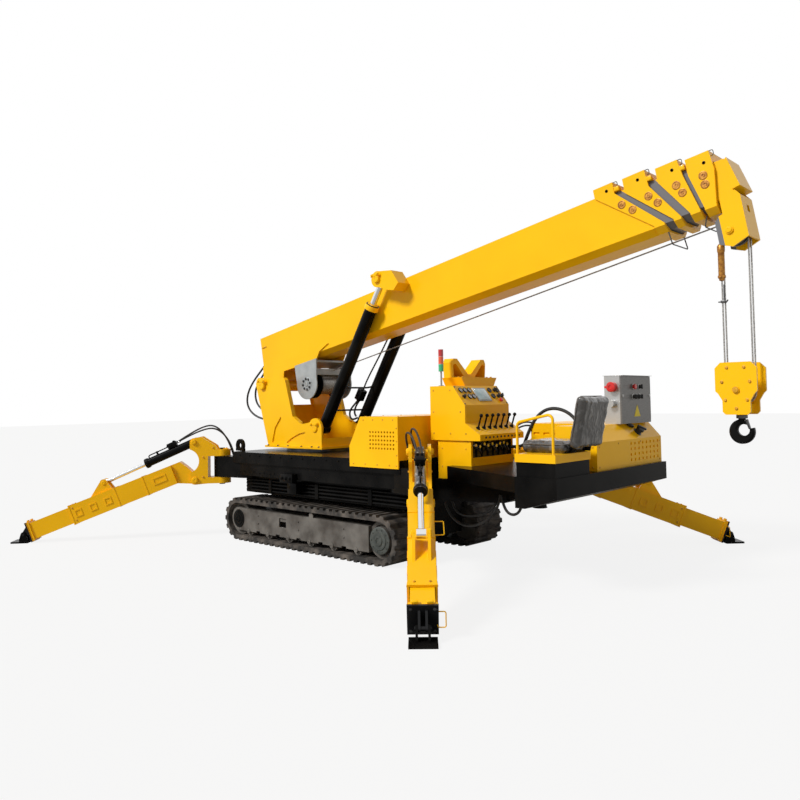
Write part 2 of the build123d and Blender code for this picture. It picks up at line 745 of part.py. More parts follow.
def yoke(row):
    """The C-shaped bracket that swings on the knuckle and carries the arm and its cylinder."""
    half = YOKE_WIDTH / 2
    jaw = Circle(JAW_RADIUS) + Pos(YOKE_SPINE_FAR / 2, 0) * Rectangle(YOKE_SPINE_FAR, YOKE_WIDTH)
    low = Pos(0, 0, LOW_JAW_Z) * extrude(jaw, amount=KNUCKLE_LOW_Z - JAW_GAP - LOW_JAW_Z)
    high_start = KNUCKLE_HIGH_Z + JAW_GAP
    high = Pos(0, 0, high_start) * extrude(jaw, amount=HIGH_JAW_Z - high_start)
    spine = box((YOKE_SPINE_NEAR, YOKE_SPINE_FAR), (-half, half), (LOW_JAW_Z, HIGH_JAW_Z))
    cheek = outline(
        [
            (YOKE_SPINE_NEAR, LOW_JAW_Z),
            (ARM_PIN[0], ARM_PIN[1] - ARM_PIN_RADIUS - 28),
            (ARM_PIN[0] + 54, ARM_PIN[1]),
            (CYLINDER_PIN[0] + 46, CYLINDER_PIN[1]),
            (CYLINDER_PIN[0] - 10, YOKE_TOP_Z - 14),
            (YOKE_SPINE_FAR - 10, YOKE_TOP_Z),
            (60, HIGH_JAW_Z + 45),
            (40, HIGH_JAW_Z),
            (YOKE_SPINE_NEAR, HIGH_JAW_Z),
        ]
    )
    cheek += Pos(*ARM_PIN) * Circle(54) + Pos(*CYLINDER_PIN) * Circle(46)
    waist_z = (ARM_PIN[1] + CYLINDER_PIN[1]) / 2
    waist = (CYLINDER_PIN[1] - ARM_PIN[1]) / 2 - 82
    cheek -= Pos(YOKE_SPINE_FAR + 15 + waist, waist_z) * Circle(waist)
    cheek -= Pos(YOKE_SPINE_FAR + 115 + waist, waist_z) * Rectangle(200, 2 * waist)
    body = low + high + spine
    for side in (-1, 1):
        faces = sorted((side * half, side * (half - YOKE_CHEEK)))
        body += upright(cheek, *faces)
        caps = sorted((side * half, side * (half + 10)))
        body += disc(*ARM_PIN, ARM_PIN_RADIUS + 12, *caps)
        body += disc(*CYLINDER_PIN, CYLINDER_PIN_RADIUS + 10, *caps)
    body += disc(*ARM_PIN, ARM_PIN_RADIUS, -half, half)
    body += disc(*CYLINDER_PIN, CYLINDER_PIN_RADIUS, -half, half)
    body -= Cylinder(PIVOT_PIN_RADIUS + 0.5, 4 * HIGH_JAW_Z)
    return outrigger_frame(row) * body


def outrigger_arm(row):
    """The outer arm: a box with a cranked root, weld bands, side windows and the cylinder's lug."""
    half = ARM_WIDTH / 2
    hull = box((ARM_START, ARM_END), (-half, half), (ARM_BOTTOM, ARM_TOP))
    hull -= box(
        (ARM_START + ARM_WALL, ARM_END + 1),
        (-half + ARM_WALL, half - ARM_WALL),
        (ARM_BOTTOM + ARM_WALL, ARM_TOP - ARM_WALL),
    )
    root = outline(
        [
            (-ARM_PIN_RADIUS - 14, 26),
            (ARM_ROOT_HEEL, ARM_TOP - ARM_ROOT_CHAMFER),
            (ARM_ROOT_HEEL + ARM_ROOT_CHAMFER * 0.64, ARM_TOP),
            (ARM_START + 1, ARM_TOP),
            (ARM_START + 1, ARM_BOTTOM),
            (10, -ARM_PIN_RADIUS - 20),
        ]
    )
    root += Circle(ARM_PIN_RADIUS + 21)
    body = hull + upright(root, -ARM_ROOT_WIDTH / 2, ARM_ROOT_WIDTH / 2)
    for place in ARM_BAND_PLACES:
        band = box(
            (place, place + ARM_BAND),
            (-half - 5, half + 5),
            (ARM_BOTTOM - 5, ARM_TOP + 5),
        )
        band -= box(
            (place - 1, place + ARM_BAND + 1), (-half + 1, half - 1), (ARM_BOTTOM + 1, ARM_TOP - 1)
        )
        body += band
    for side in (-1, 1):
        for place in ARM_WINDOW_PLACES:
            rim = sorted((side * (half - 1), side * (half + 6)))
            frame = box(
                (place - ARM_WINDOW / 2, place + ARM_WINDOW / 2),
                rim,
                (ARM_AXIS_RISE - ARM_WINDOW / 2, ARM_AXIS_RISE + ARM_WINDOW / 2),
            )
            hole = box(
                (place - ARM_WINDOW / 2 + 14, place + ARM_WINDOW / 2 - 14),
                (rim[0] - 1, rim[1] + 1),
                (ARM_AXIS_RISE - ARM_WINDOW / 2 + 14, ARM_AXIS_RISE + ARM_WINDOW / 2 - 14),
            )
            body += frame - hole
    for side in (-1, 1):
        faces = sorted((side * (half - 1), side * (half + 6)))
        middle = (ARM_START + ARM_BAND_PLACES[0]) / 2
        rim = outline([(middle - 80, 118), (middle + 80, 118), (middle + 80, 202), (middle - 80, 202)])
        rim -= outline([(middle - 64, 134), (middle + 64, 134), (middle + 64, 186), (middle - 64, 186)])
        body += upright(rim, *faces)
    lug = outline(
        [
            (LEG_EYE[0] - 70, ARM_TOP - 1),
            (LEG_EYE[0] + 190, ARM_TOP - 1),
            (LEG_EYE[0] + 40, LEG_EYE[1] + 20),
            (LEG_EYE[0] - 30, LEG_EYE[1] + 28),
        ]
    )
    lug += Pos(*LEG_EYE) * Circle(LEG_EYE_RADIUS)
    lug -= Pos(*LEG_EYE) * Circle(CYLINDER_PIN_RADIUS)
    inner = LEG_EYE_WIDTH / 2 + LEG_EYE_OPENING
    for side in (-1, 1):
        faces = sorted((side * inner, side * (inner + LEG_LUG_THICKNESS)))
        body += upright(lug, *faces)
    body -= disc(0, 0, ARM_PIN_RADIUS + 0.5, -half, half)
    return arm_frame(row) * body


def inner_arm(row):
    """The sliding inner box of an outrigger, with wear pads and a flange at its end."""
    end = arm_length(row) - ANKLE_AHEAD
    start = end - INNER_LENGTH
    half, tall = INNER_WIDTH / 2, INNER_HEIGHT / 2
    low, high = ARM_AXIS_RISE - tall, ARM_AXIS_RISE + tall
    body = box((start, end), (-half, half), (low, high))
    body -= box(
        (start - 1, end - COLLAR_THICKNESS),
        (-half + INNER_WALL, half - INNER_WALL),
        (low + INNER_WALL, high - INNER_WALL),
    )
    pad = ARM_CLEARANCE - SEAT_GAP
    body += box((start, start + 60), (-half + 20, half - 20), (low - pad, low + 1))
    body += box((start, start + 60), (-half + 20, half - 20), (high - 1, high + pad))
    body += box(
        (end - COLLAR_THICKNESS, end),
        (-half - COLLAR_STEP, half + COLLAR_STEP),
        (low - COLLAR_STEP, high + COLLAR_STEP),
    )
    return arm_frame(row) * body


def ankle_place(row):
    """The ankle's place in the arm's frame."""
    return arm_length(row), ARM_AXIS_RISE


def foot_bracket(row):
    """The black end plate on the inner arm, with the two ribs that hold the ankle pin."""
    end = arm_length(row) - ANKLE_AHEAD
    half = INNER_WIDTH / 2 + END_PLATE_STEP + COLLAR_STEP / 2
    tall = INNER_HEIGHT / 2 + END_PLATE_STEP + COLLAR_STEP / 2
    plate = box(
        (end, end + END_PLATE), (-half, half), (ARM_AXIS_RISE - tall, ARM_AXIS_RISE + tall)
    )
    x, z = ankle_place(row)
    rib = outline(
        [
            (end + 1, z - 34), (end + 1, z + 84), (end + END_PLATE + 10, z + 84), (x + 14, z + 18),
            (x + 14, z - 16), (x, z - 22),
        ]
    )
    rib += Pos(x, z) * Circle(ANKLE_PIN_RADIUS + 8)
    for side in (-1, 1):
        faces = sorted((side * ANKLE_WIDTH / 2, side * (ANKLE_WIDTH / 2 - FOOT_LUG)))
        plate += upright(rib, *faces)
    plate += disc(x, z, ANKLE_PIN_RADIUS, -ANKLE_WIDTH / 2 - FOOT_LUG - 8, ANKLE_WIDTH / 2 + FOOT_LUG + 8)
    return arm_frame(row) * plate


def foot(row):
    """The foot plate that tilts on the ankle pin, with two lugs."""
    x = row[6]
    sole = box(
        (x - FOOT_BEHIND, x + FOOT_AHEAD), (-FOOT_WIDTH / 2, FOOT_WIDTH / 2),
        (0, FOOT_PLATE),
    )
    lug = link_face((x, ANKLE_Z), ANKLE_PIN_RADIUS + 12, (x, FOOT_PLATE + 12), 46)
    lug -= Pos(x, -100 + FOOT_PLATE - 1) * Rectangle(400, 200)
    body = sole
    for side in (-1, 1):
        faces = sorted((side * (ANKLE_WIDTH / 2 + 1), side * (ANKLE_WIDTH / 2 + 1 + FOOT_LUG)))
        body += upright(lug, *faces)
    body -= disc(x, ANKLE_Z, ANKLE_PIN_RADIUS + 0.5, -ANKLE_WIDTH, ANKLE_WIDTH)
    return outrigger_frame(row) * body


def leg_cylinder_frame(row):
    """x runs from the cylinder's upper pin towards its rod eye."""
    tilt = arm_angle(row)
    eye_x = ARM_PIN[0] + LEG_EYE[0] * cos(tilt) + LEG_EYE[1] * sin(tilt)
    eye_z = ARM_PIN[1] - LEG_EYE[0] * sin(tilt) + LEG_EYE[1] * cos(tilt)
    way = (eye_x - CYLINDER_PIN[0], 0, eye_z - CYLINDER_PIN[1])
    length = hypot(way[0], way[2])
    frame = outrigger_frame(row) * Plane(
        origin=(CYLINDER_PIN[0], 0, CYLINDER_PIN[1]),
        x_dir=way,
        z_dir=(-way[2] / length, 0, way[0] / length),
    ).location
    return frame, length


def barrel(length, radius, eye_radius, eye_width, pin_radius, gland_radius, gland_length):
    """A cylinder's barrel along x, from its eye at the origin to its gland."""
    body = round_bar((eye_radius * 0.7, 0, 0), (length - gland_length, 0, 0), radius)
    body += round_bar((length - gland_length, 0, 0), (length, 0, 0), gland_radius)
    body += disc(0, 0, eye_radius, -eye_width / 2, eye_width / 2)
    return body - disc(0, 0, pin_radius + 0.5, -eye_width, eye_width)


def rod(start, end, radius, eye_radius, eye_width, pin_radius):
    """A cylinder's rod along x, from inside the barrel to the middle of its eye."""
    body = round_bar((start, 0, 0), (end - eye_radius * 0.8, 0, 0), radius)
    body += disc(end, 0, eye_radius, -eye_width / 2, eye_width / 2)
    return body - disc(end, 0, pin_radius, -eye_width, eye_width)


def leg_barrel(row):
    """The barrel of an outrigger's cylinder, hollow from the gland so that the rod slides in."""
    frame, _ = leg_cylinder_frame(row)
    body = barrel(
        LEG_BARREL_LENGTH, LEG_BARREL_RADIUS, LEG_EYE_RADIUS, LEG_EYE_WIDTH, CYLINDER_PIN_RADIUS,
        LEG_BARREL_RADIUS + 7, 45,
    )
    bore = round_bar((LEG_EYE_RADIUS + 20, 0, 0), (LEG_BARREL_LENGTH + 1, 0, 0), LEG_ROD_RADIUS + 0.5)
    return frame * (body - bore)


def leg_rod(row):
    """The chromed rod of an outrigger's cylinder."""
    frame, length = leg_cylinder_frame(row)
    body = rod(
        LEG_BARREL_LENGTH - 130, length, LEG_ROD_RADIUS, LEG_EYE_RADIUS - 6, LEG_EYE_WIDTH,
        CYLINDER_PIN_RADIUS,
    )
    return frame * body


# Slewing ring and mast


def slew_ring():
    """The ring on the deck that the turntable turns on."""
    ring = Cylinder(SLEW_RING_RADIUS, SLEW_RING_HEIGHT) - Cylinder(
        SLEW_RING_RADIUS - 120, SLEW_RING_HEIGHT + 2
    )
    return Pos(SLEW_X, 0, DECK_TOP_Z + SLEW_RING_HEIGHT / 2) * ring


TURNTABLE_Z = DECK_TOP_Z + SLEW_RING_HEIGHT + SEAT_GAP
MAST_FOOT_Z = TURNTABLE_Z + TURNTABLE_PLATE


def mast_outline():
    """One side plate of the mast: a leaning column, a curved neck and an ear in front."""
    ear = (LUFF_PIN_X, LUFF_PIN_Z)
    face = outline(
        [
            (MAST_FOOT_REAR_X, MAST_FOOT_Z - 1),
            (MAST_TOP_REAR_X, MAST_TOP_Z - 70),
            (MAST_TOP_REAR_X + 45, MAST_TOP_Z),
            (MAST_TOP_FRONT_X - 30, MAST_TOP_Z - 12),
            (MAST_TOP_FRONT_X, MAST_TOP_Z - 40),
            (MAST_NECK_X, MAST_NECK_Z),
            (MAST_KNEE_X, MAST_KNEE_Z),
            (ear[0] - MAST_EAR_RADIUS * 0.8, MAST_KNEE_Z + 20),
            (ear[0] + MAST_EAR_RADIUS, ear[1]),
            (MAST_FOOT_FRONT_X, MAST_FOOT_Z - 1),
        ]
    )
    return face + Pos(*ear) * Circle(MAST_EAR_RADIUS)


def mast_flange(side):
    """The edge strip that is bent inwards along the column's front, the neck and the top."""
    face = mast_outline()
    strip = face - offset(face, amount=-MAST_FLANGE_PLATE)
    top = MAST_TOP_Z - MAST_NECK_Z + 2 * MAST_FLANGE_DROP
    middle = (MAST_TOP_REAR_X + MAST_FLANGE_END_X) / 2
    width = MAST_FLANGE_END_X - MAST_TOP_REAR_X
    strip &= Pos(middle, MAST_NECK_Z - MAST_FLANGE_DROP + top / 2) * Rectangle(width, top)
    return upright(strip, *sorted((side * (MAST_HALF_WIDTH - 1), side * (MAST_HALF_WIDTH - MAST_FLANGE))))


def mast():
    """The slewing mast: turntable plate, two side plates, cross plates, and the pins it carries."""
    table = Pos(SLEW_X, 0, TURNTABLE_Z) * extrude(
        Circle(TURNTABLE_RADIUS), amount=TURNTABLE_PLATE
    )
    base = box(
        (MAST_FOOT_REAR_X - 30, MAST_FOOT_FRONT_X + 30),
        (-MAST_HALF_WIDTH - 25, MAST_HALF_WIDTH + 25),
        (TURNTABLE_Z, MAST_FOOT_Z),
    )
    body = table + base
    face = mast_outline()
    for side in (-1, 1):
        faces = sorted((side * MAST_HALF_WIDTH, side * (MAST_HALF_WIDTH - MAST_PLATE)))
        body += upright(face, *faces)
        outer = side * (LUFF_CENTRE_Y + LUFF_BARREL_RADIUS + 4)
        body += disc(LUFF_PIN_X, LUFF_PIN_Z, LUFF_PIN_RADIUS + 32, *sorted((outer, faces[0])))
        pin = sorted((side * (LUFF_CENTRE_Y - LUFF_EYE_WIDTH / 2 - 30), side * MAST_HALF_WIDTH))
        body += disc(LUFF_PIN_X, LUFF_PIN_Z, LUFF_PIN_RADIUS, *pin)
        boss = sorted((side * (BOOM_HALF_WIDTH + 16), side * (MAST_HALF_WIDTH - 1)))
        body += disc(BOOM_PIVOT_X, BOOM_PIVOT_Z, BOOM_BOSS_RADIUS, *boss)
        body += mast_flange(side)
        for corners in MAST_WINDOWS:
            recess = sorted((side * (MAST_HALF_WIDTH + 1), side * (MAST_HALF_WIDTH - MAST_RECESS)))
            body -= upright(outline(corners), *recess)
    body += disc(
        BOOM_PIVOT_X, BOOM_PIVOT_Z, BOOM_PIN_RADIUS, -MAST_HALF_WIDTH - 18, MAST_HALF_WIDTH + 18
    )
    inside = MAST_HALF_WIDTH - MAST_PLATE + 1
    lean = (MAST_FOOT_REAR_X - MAST_TOP_REAR_X) / (MAST_TOP_Z - 70 - MAST_FOOT_Z)
    back_top = BOOM_PIVOT_Z - 235
    back = outline(
        [
            (MAST_FOOT_REAR_X, MAST_FOOT_Z - 1),
            (MAST_FOOT_REAR_X - lean * (back_top - MAST_FOOT_Z), back_top),
            (MAST_FOOT_REAR_X - lean * (back_top - MAST_FOOT_Z) + 18, back_top),
            (MAST_FOOT_REAR_X + 18, MAST_FOOT_Z - 1),
        ]
    )
    body += upright(back, -inside, inside)
    front = box(
        (MAST_FOOT_FRONT_X - 30, MAST_FOOT_FRONT_X - 14), (-inside, inside),
        (MAST_FOOT_Z - 1, LUFF_PIN_Z - LUFF_BARREL_RADIUS - 45),
    )
    return body + front


# Boom


def boom_frame():
    """The boom's frame: x along the boom from its pivot, z square to it."""
    tilt = radians(BOOM_REST_DEG)
    return Plane(
        origin=(BOOM_PIVOT_X, 0, BOOM_PIVOT_Z),
        x_dir=(cos(tilt), 0, sin(tilt)),
        z_dir=(-sin(tilt), 0, cos(tilt)),
    )


def section_face(inset):
    """The boom's six-sided cross-section, drawn in by an inset on every side."""
    side = BOOM_HALF_WIDTH - inset
    belly = BOOM_BELLY_HALF_WIDTH - inset * 0.6
    top, ridge, low = BOOM_TOP_W - inset, BOOM_RIDGE_W + inset * 0.8, BOOM_BELLY_W + inset
    return outline(
        [(-side, top), (-side, ridge), (-belly, low), (belly, low), (side, ridge), (side, top)]
    )


def section_inset(level):
    """How far a section lies inside the base section's outside."""
    return level * (BOOM_WALL + BOOM_SLIDE_GAP)


def boom_section(level):
    """One telescoping section: a tube with a slanted end, a collar round it and wear pads."""
    inset = section_inset(level)
    top_rear, top_front, knee, low_front, low_rear, knee_w, top_w = COLLARS[level]
    rear = BOOM_REAR_U if level == 0 else 300 + BOOM_TUCK * level
    tube = crosswise(section_face(inset) - section_face(inset + BOOM_WALL), rear, low_front + 50)
    side_view = outline(
        [
            (rear - 60, 0), (low_rear + 40, 0), (low_rear + 40, COLLAR_LOW_W),
            (top_rear + 60, BOOM_TOP_W - 40), (top_rear + 60, BOOM_TOP_W + 40),
            (rear - 60, BOOM_TOP_W + 40),
        ]
    )
    tube &= upright(side_view, -BOOM_HALF_WIDTH - 5, BOOM_HALF_WIDTH + 5)
    half = BOOM_HALF_WIDTH - inset + COLLAR_SIDE
    low = COLLAR_LOW_W + inset * 0.25
    band = outline(
        [
            (top_rear, top_w), (top_front, top_w), (knee, knee_w), (low_front, low),
            (low_front, low - 66), (low_rear, low - 66), (low_rear, low), (top_rear, knee_w + 20),
        ]
    )
    collar = upright(band, -half, half)
    bevel = half - 62
    for side in (-1, 1):
        corner = outline(
            [(side * (half + 5), low - 12), (side * bevel, low - 70), (side * (half + 5), low - 70)]
        )
        collar -= crosswise(corner, top_rear - 100, low_front + 100)
    void = crosswise(section_face(inset + BOOM_WALL), top_rear - 200, low_front + 100)
    body = tube + (collar - void)
    pad_height = BOOM_SLIDE_GAP - SEAT_GAP
    inner_low = BOOM_BELLY_W + inset + BOOM_WALL
    pad_half = BOOM_BELLY_HALF_WIDTH - inset * 0.6 - 40
    body += box(
        (low_rear - BOOM_PAD_LENGTH, low_rear), (-pad_half, pad_half),
        (inner_low - 1, inner_low + pad_height),
    )
    if level > 0:
        top = BOOM_TOP_W - inset
        pad_half = BOOM_HALF_WIDTH - inset - 40
        body += box(
            (rear, rear + BOOM_PAD_LENGTH), (-pad_half, pad_half), (top - 1, top + pad_height)
        )
    return body


def boom_base():
    """The base section of the boom, with its foot plates and the tube for its pin."""
    body = boom_section(0)
    rear = box((BOOM_REAR_U - 10, BOOM_REAR_U + 6), (-190, 190), (BOOM_FOOT_W, BOOM_TOP_W - 4))
    body += rear
    foot_face = outline(
        [
            (BOOM_REAR_U, BOOM_RIDGE_W + 60),
            (BOOM_REAR_U - 10, BOOM_FOOT_W),
            (-BOOM_FOOT_RADIUS, 20),
            (BOOM_FOOT_RADIUS, 0),
            (BOOM_FOOT_RADIUS + 40, BOOM_FOOT_W - 8),
            (BOOM_FOOT_FRONT_U, BOOM_FOOT_W - 8),
            (BOOM_FOOT_FRONT_U + 70, BOOM_RIDGE_W + 4),
            (BOOM_FOOT_FRONT_U + 230, BOOM_RIDGE_W + 56),
        ]
    )
    foot_face += Circle(BOOM_FOOT_RADIUS)
    for side in (-1, 1):
        faces = sorted((side * (BOOM_HALF_WIDTH - 1), side * (BOOM_HALF_WIDTH + BOOM_FOOT_PLATE)))
        body += upright(foot_face, *faces)
    tube = disc(0, 0, BOOM_PIN_RADIUS + 22, -BOOM_HALF_WIDTH, BOOM_HALF_WIDTH)
    web = box((-20, 20), (-BOOM_HALF_WIDTH, BOOM_HALF_WIDTH), (20, BOOM_BELLY_W + 4))
    body += tube + web
    body -= disc(0, 0, BOOM_PIN_RADIUS + 0.5, -BOOM_HALF_WIDTH - 50, BOOM_HALF_WIDTH + 50)
    return boom_frame() * body


def luff_lug(side):
    """A cheek with its bridge, welded to the boom's side, for one luffing cylinder's rod eye."""
    outer = LUFF_LUG_HALF_WIDTH
    inner = outer - LUFF_LUG_PLATE
    u, w = LUFF_EYE
    low_u, high_u = LUFF_LUG_BASE_U
    cheek = outline(
        [
            (u - 30, w - LUFF_LUG_RADIUS * 0.8),
            (u - LUFF_LUG_RADIUS, w),
            (u, w + LUFF_LUG_RADIUS),
            (high_u - 70, w + 30),
            (high_u, w - 120),
            (high_u - 80, w - 180),
            (u + 115, w - 150),
        ]
    )
    cheek += Pos(u, w) * Circle(LUFF_LUG_RADIUS)
    body = upright(cheek, inner, outer)
    bridge = outline(
        [
            (u + 150, w + 10), (high_u - 70, w + 30), (high_u, w - 120), (high_u - 80, w - 180),
            (u + 150, w - 165),
        ]
    )
    body += upright(bridge, BOOM_HALF_WIDTH + SEAT_GAP, inner + 1)
    crown = outline(
        [(u - 20, w + 64), (u, w + LUFF_LUG_RADIUS), (high_u - 70, w + 30), (u + 150, w + 10)]
    )
    body += upright(crown, LUFF_CENTRE_Y + LUFF_ROD_EYE_WIDTH / 2 + CYLINDER_SIDE_GAP, inner + 1)
    body += disc(u, w, CYLINDER_PIN_RADIUS + 20, outer - 1, outer + 14)
    return boom_frame() * (body if side > 0 else mirror(body, about=Plane.XZ))


def luff_cylinder_frame():
    """x runs from the mast's ear pin to the rod's eye; drawn in the centre plane."""
    tilt = radians(BOOM_REST_DEG)
    u, w = LUFF_EYE
    eye_x = BOOM_PIVOT_X + u * cos(tilt) - w * sin(tilt)
    eye_z = BOOM_PIVOT_Z + u * sin(tilt) + w * cos(tilt)
    way = (eye_x - LUFF_PIN_X, 0, eye_z - LUFF_PIN_Z)
    length = hypot(way[0], way[2])
    frame = Plane(
        origin=(LUFF_PIN_X, 0, LUFF_PIN_Z),
        x_dir=way,
        z_dir=(-way[2] / length, 0, way[0] / length),
    )
    return frame, length


def luff_barrel(side):
    """The barrel of one luffing cylinder."""
    frame, reach = luff_cylinder_frame()
    length = reach - LUFF_ROD_SHOWS
    body = barrel(
        length, LUFF_BARREL_RADIUS, LUFF_BARREL_RADIUS, LUFF_EYE_WIDTH, LUFF_PIN_RADIUS,
        LUFF_GLAND_RADIUS, LUFF_GLAND_LENGTH,
    )
    body -= round_bar((LUFF_BARREL_BASE, 0, 0), (length + 1, 0, 0), LUFF_ROD_RADIUS + SEAT_GAP + 0.2)
    return Pos(0, side * LUFF_CENTRE_Y, 0) * (frame * body)


def luff_rod(side):
    """The rod of one luffing cylinder."""
    frame, reach = luff_cylinder_frame()
    body = rod(
        reach - LUFF_ROD_SHOWS - LUFF_ROD_TAIL, reach, LUFF_ROD_RADIUS, LUFF_EYE_RADIUS,
        LUFF_ROD_EYE_WIDTH, CYLINDER_PIN_RADIUS,
    )
    return Pos(0, side * LUFF_CENTRE_Y, 0) * (frame * body)


def boom_tip():
    """The innermost section with the head that carries the rope sheaves."""
    level = len(COLLARS)
    inset = section_inset(level)
    rear = 300 + BOOM_TUCK * level
    half = BOOM_HALF_WIDTH - inset
    tube = crosswise(section_face(inset) - section_face(inset + BOOM_WALL), rear, HEAD_ROOT_U + 10)
    head = outline(
        [
            (HEAD_ROOT_U, BOOM_TOP_W - inset - 6),
            (TIP_U, BOOM_TOP_W - inset - 10),
            (TIP_U + 5, 333),
            (TIP_U + 46, 268),
            (TIP_U + 40, -52),
            (HEAD_PIN[0], -96),
            (HEAD_PIN[0] - 92, -52),
            (HEAD_PIN[0] - 88, 120),
            (HEAD_ROOT_U - 30, 160),
            (HEAD_ROOT_U, 166),
        ]
    )
    body = tube
    for side in (-1, 1):
        faces = sorted((side * half, side * (half - HEAD_PLATE)))
        body += upright(head, *faces)
    front = outline(
        [(TIP_U + 46, 268), (TIP_U + 40, -52), (TIP_U + 28, -52), (TIP_U + 34, 268)]
    )
    front_plate = upright(front, -half + 1, half - 1)
    front_plate -= box((TIP_U, TIP_U + 80), (-HEAD_WINDOW / 2, HEAD_WINDOW / 2), (150, 205))
    guard = outline(
        [
            (TIP_U, BOOM_TOP_W - inset - 10), (TIP_U + 12, BOOM_TOP_W - inset),
            (TIP_U + 64, 330), (TIP_U + 4, 322),
        ]
    )
    body += front_plate + upright(guard, -half - 12, half + 12)
    body += disc(*HEAD_PIN, 30, -half - 14, half + 14)
    top_w = BOOM_TOP_W - inset
    body += box((TIP_U - 120, TIP_U - 10), (-half + 1, half - 1), (top_w - 14, top_w))
    pad_half = half - 40
    body += box((rear, rear + BOOM_PAD_LENGTH), (-pad_half, pad_half), (top_w - 1, top_w + BOOM_SLIDE_GAP - SEAT_GAP))
    return boom_frame() * body


def head_sheaves():
    """The grooved sheaves on the head's pin."""
    body = None
    for index in range(HEAD_SHEAVE_COUNT):
        y = (index - (HEAD_SHEAVE_COUNT - 1) / 2) * HEAD_SHEAVE_PITCH
        wheel = sheave(HEAD_PIN, y, HEAD_SHEAVE_RADIUS, HEAD_SHEAVE_WIDTH, 30.5)
        body = wheel if body is None else body + wheel
    spacer_half = (HEAD_SHEAVE_COUNT - 1) / 2 * HEAD_SHEAVE_PITCH
    ring = disc(*HEAD_PIN, 44, -spacer_half, spacer_half) - disc(
        *HEAD_PIN, 30.5, -spacer_half - 1, spacer_half + 1
    )
    return boom_frame() * (body + ring)


def sheave(centre, y, radius, width, bore):
    """A sheave across Y with a rope groove in its rim."""
    wheel = disc(*centre, radius, y - width / 2, y + width / 2)
    groove = Pos(centre[0], y, centre[1]) * (
        Rot(90, 0, 0) * Torus(radius + 1, ROPE_RADIUS + SEAT_GAP)
    )
    return wheel - groove - disc(*centre, bore, y - width, y + width)


# Winch


def winch_frame():
    """The two cheek plates that hang the winch under the boom's foot."""
    top = BOOM_FOOT_W - 8 - SEAT_GAP
    plate = outline(
        [
            (WINCH_PLATE_TOP_U[0], top), (WINCH_PLATE_TOP_U[1], top),
            (WINCH_AXIS[0] + WINCH_PLATE_RADIUS * 0.98, WINCH_AXIS[1]),
            (WINCH_AXIS[0] - WINCH_PLATE_RADIUS * 0.98, WINCH_AXIS[1]),
        ]
    )
    plate += Pos(*WINCH_AXIS) * Circle(WINCH_PLATE_RADIUS)
    inner = WINCH_PLATE_HALF_WIDTH - WINCH_PLATE
    body = None
    for side in (-1, 1):
        faces = sorted((side * WINCH_PLATE_HALF_WIDTH, side * inner))
        cheek = upright(plate, *faces)
        body = cheek if body is None else body + cheek
    low_u, high_u = WINCH_PLATE_TOP_U
    across = (-inner - 1, inner + 1)
    body += box((low_u + 20, high_u - 70), across, (top - 24, top))
    body += box((high_u - 60, high_u - 30), across, (-40, 30))
    return boom_frame() * body


def winch_drum():
    """The rope drum between its flanges, with its motor sticking out at the far side."""
    u, w = WINCH_AXIS
    half = DRUM_HALF_WIDTH
    body = disc(u, w, DRUM_RADIUS, -half, half)
    for side in (-1, 1):
        faces = sorted((side * half, side * (half - DRUM_FLANGE)))
        body += disc(u, w, DRUM_FLANGE_RADIUS, *faces)
    inner = WINCH_PLATE_HALF_WIDTH - WINCH_PLATE
    body += disc(u, w, WINCH_MOTOR_RADIUS, -inner, inner)
    return boom_frame() * body


# Hook block


def head_pin_place():
    """The head pin in the machine's frame."""
    tilt = radians(BOOM_REST_DEG)
    u, w = HEAD_PIN
    return (
        BOOM_PIVOT_X + u * cos(tilt) - w * sin(tilt),
        BOOM_PIVOT_Z + u * sin(tilt) + w * cos(tilt),
    )


def block_axle():
    """The axle of the hook block's sheaves."""
    x, z = head_pin_place()
    return x, z - HOOK_DROP_TOP - BLOCK_SHEAVE_HEIGHT


def hook_block():
    """The hook block: two shaped cheeks, spacers, sheaves on an axle and the hook's crosshead."""
    x, z = block_axle()
    top = z + BLOCK_SHEAVE_HEIGHT
    bottom = top - BLOCK_HEIGHT
    half = BLOCK_WIDTH / 2
    waist = bottom + BLOCK_TAB_HEIGHT
    tab = BLOCK_TAB_WIDTH / 2
    right = [
        (half - BLOCK_CORNER, top), (half, top - BLOCK_CORNER),
        (half, waist + half - tab + BLOCK_CORNER / 2), (half - BLOCK_CORNER / 2, waist + half - tab),
        (tab, waist), (tab, bottom + BLOCK_CORNER / 2), (tab - BLOCK_CORNER / 2, bottom),
    ]
    left = [(-dx, cheek_z) for dx, cheek_z in reversed(right)]
    cheek = outline([(x + dx, cheek_z) for dx, cheek_z in right + left])
    inner = BLOCK_HALF_THICKNESS - BLOCK_PLATE
    body = None
    for side in (-1, 1):
        faces = sorted((side * BLOCK_HALF_THICKNESS, side * inner))
        plate = upright(cheek, *faces)
        body = plate if body is None else body + plate
    body += disc(x, z, 26, -BLOCK_HALF_THICKNESS - 12, BLOCK_HALF_THICKNESS + 12)
    for y in (-HEAD_SHEAVE_PITCH / 2, HEAD_SHEAVE_PITCH / 2):
        body += sheave((x, z), y, BLOCK_SHEAVE_RADIUS, HEAD_SHEAVE_WIDTH, 20)
    crosshead = box((x - 60, x + 60), (-inner - 1, inner + 1), (bottom + CROSSHEAD_RISE, bottom + 75))
    return body + crosshead


def hook_bowl_place():
    """The middle of the round bowl inside the hook."""
    x, z = block_axle()
    return x + HOOK_BOWL_SHIFT[0], z + BLOCK_SHEAVE_HEIGHT - BLOCK_HEIGHT - HOOK_DROP + HOOK_BOWL_SHIFT[1]


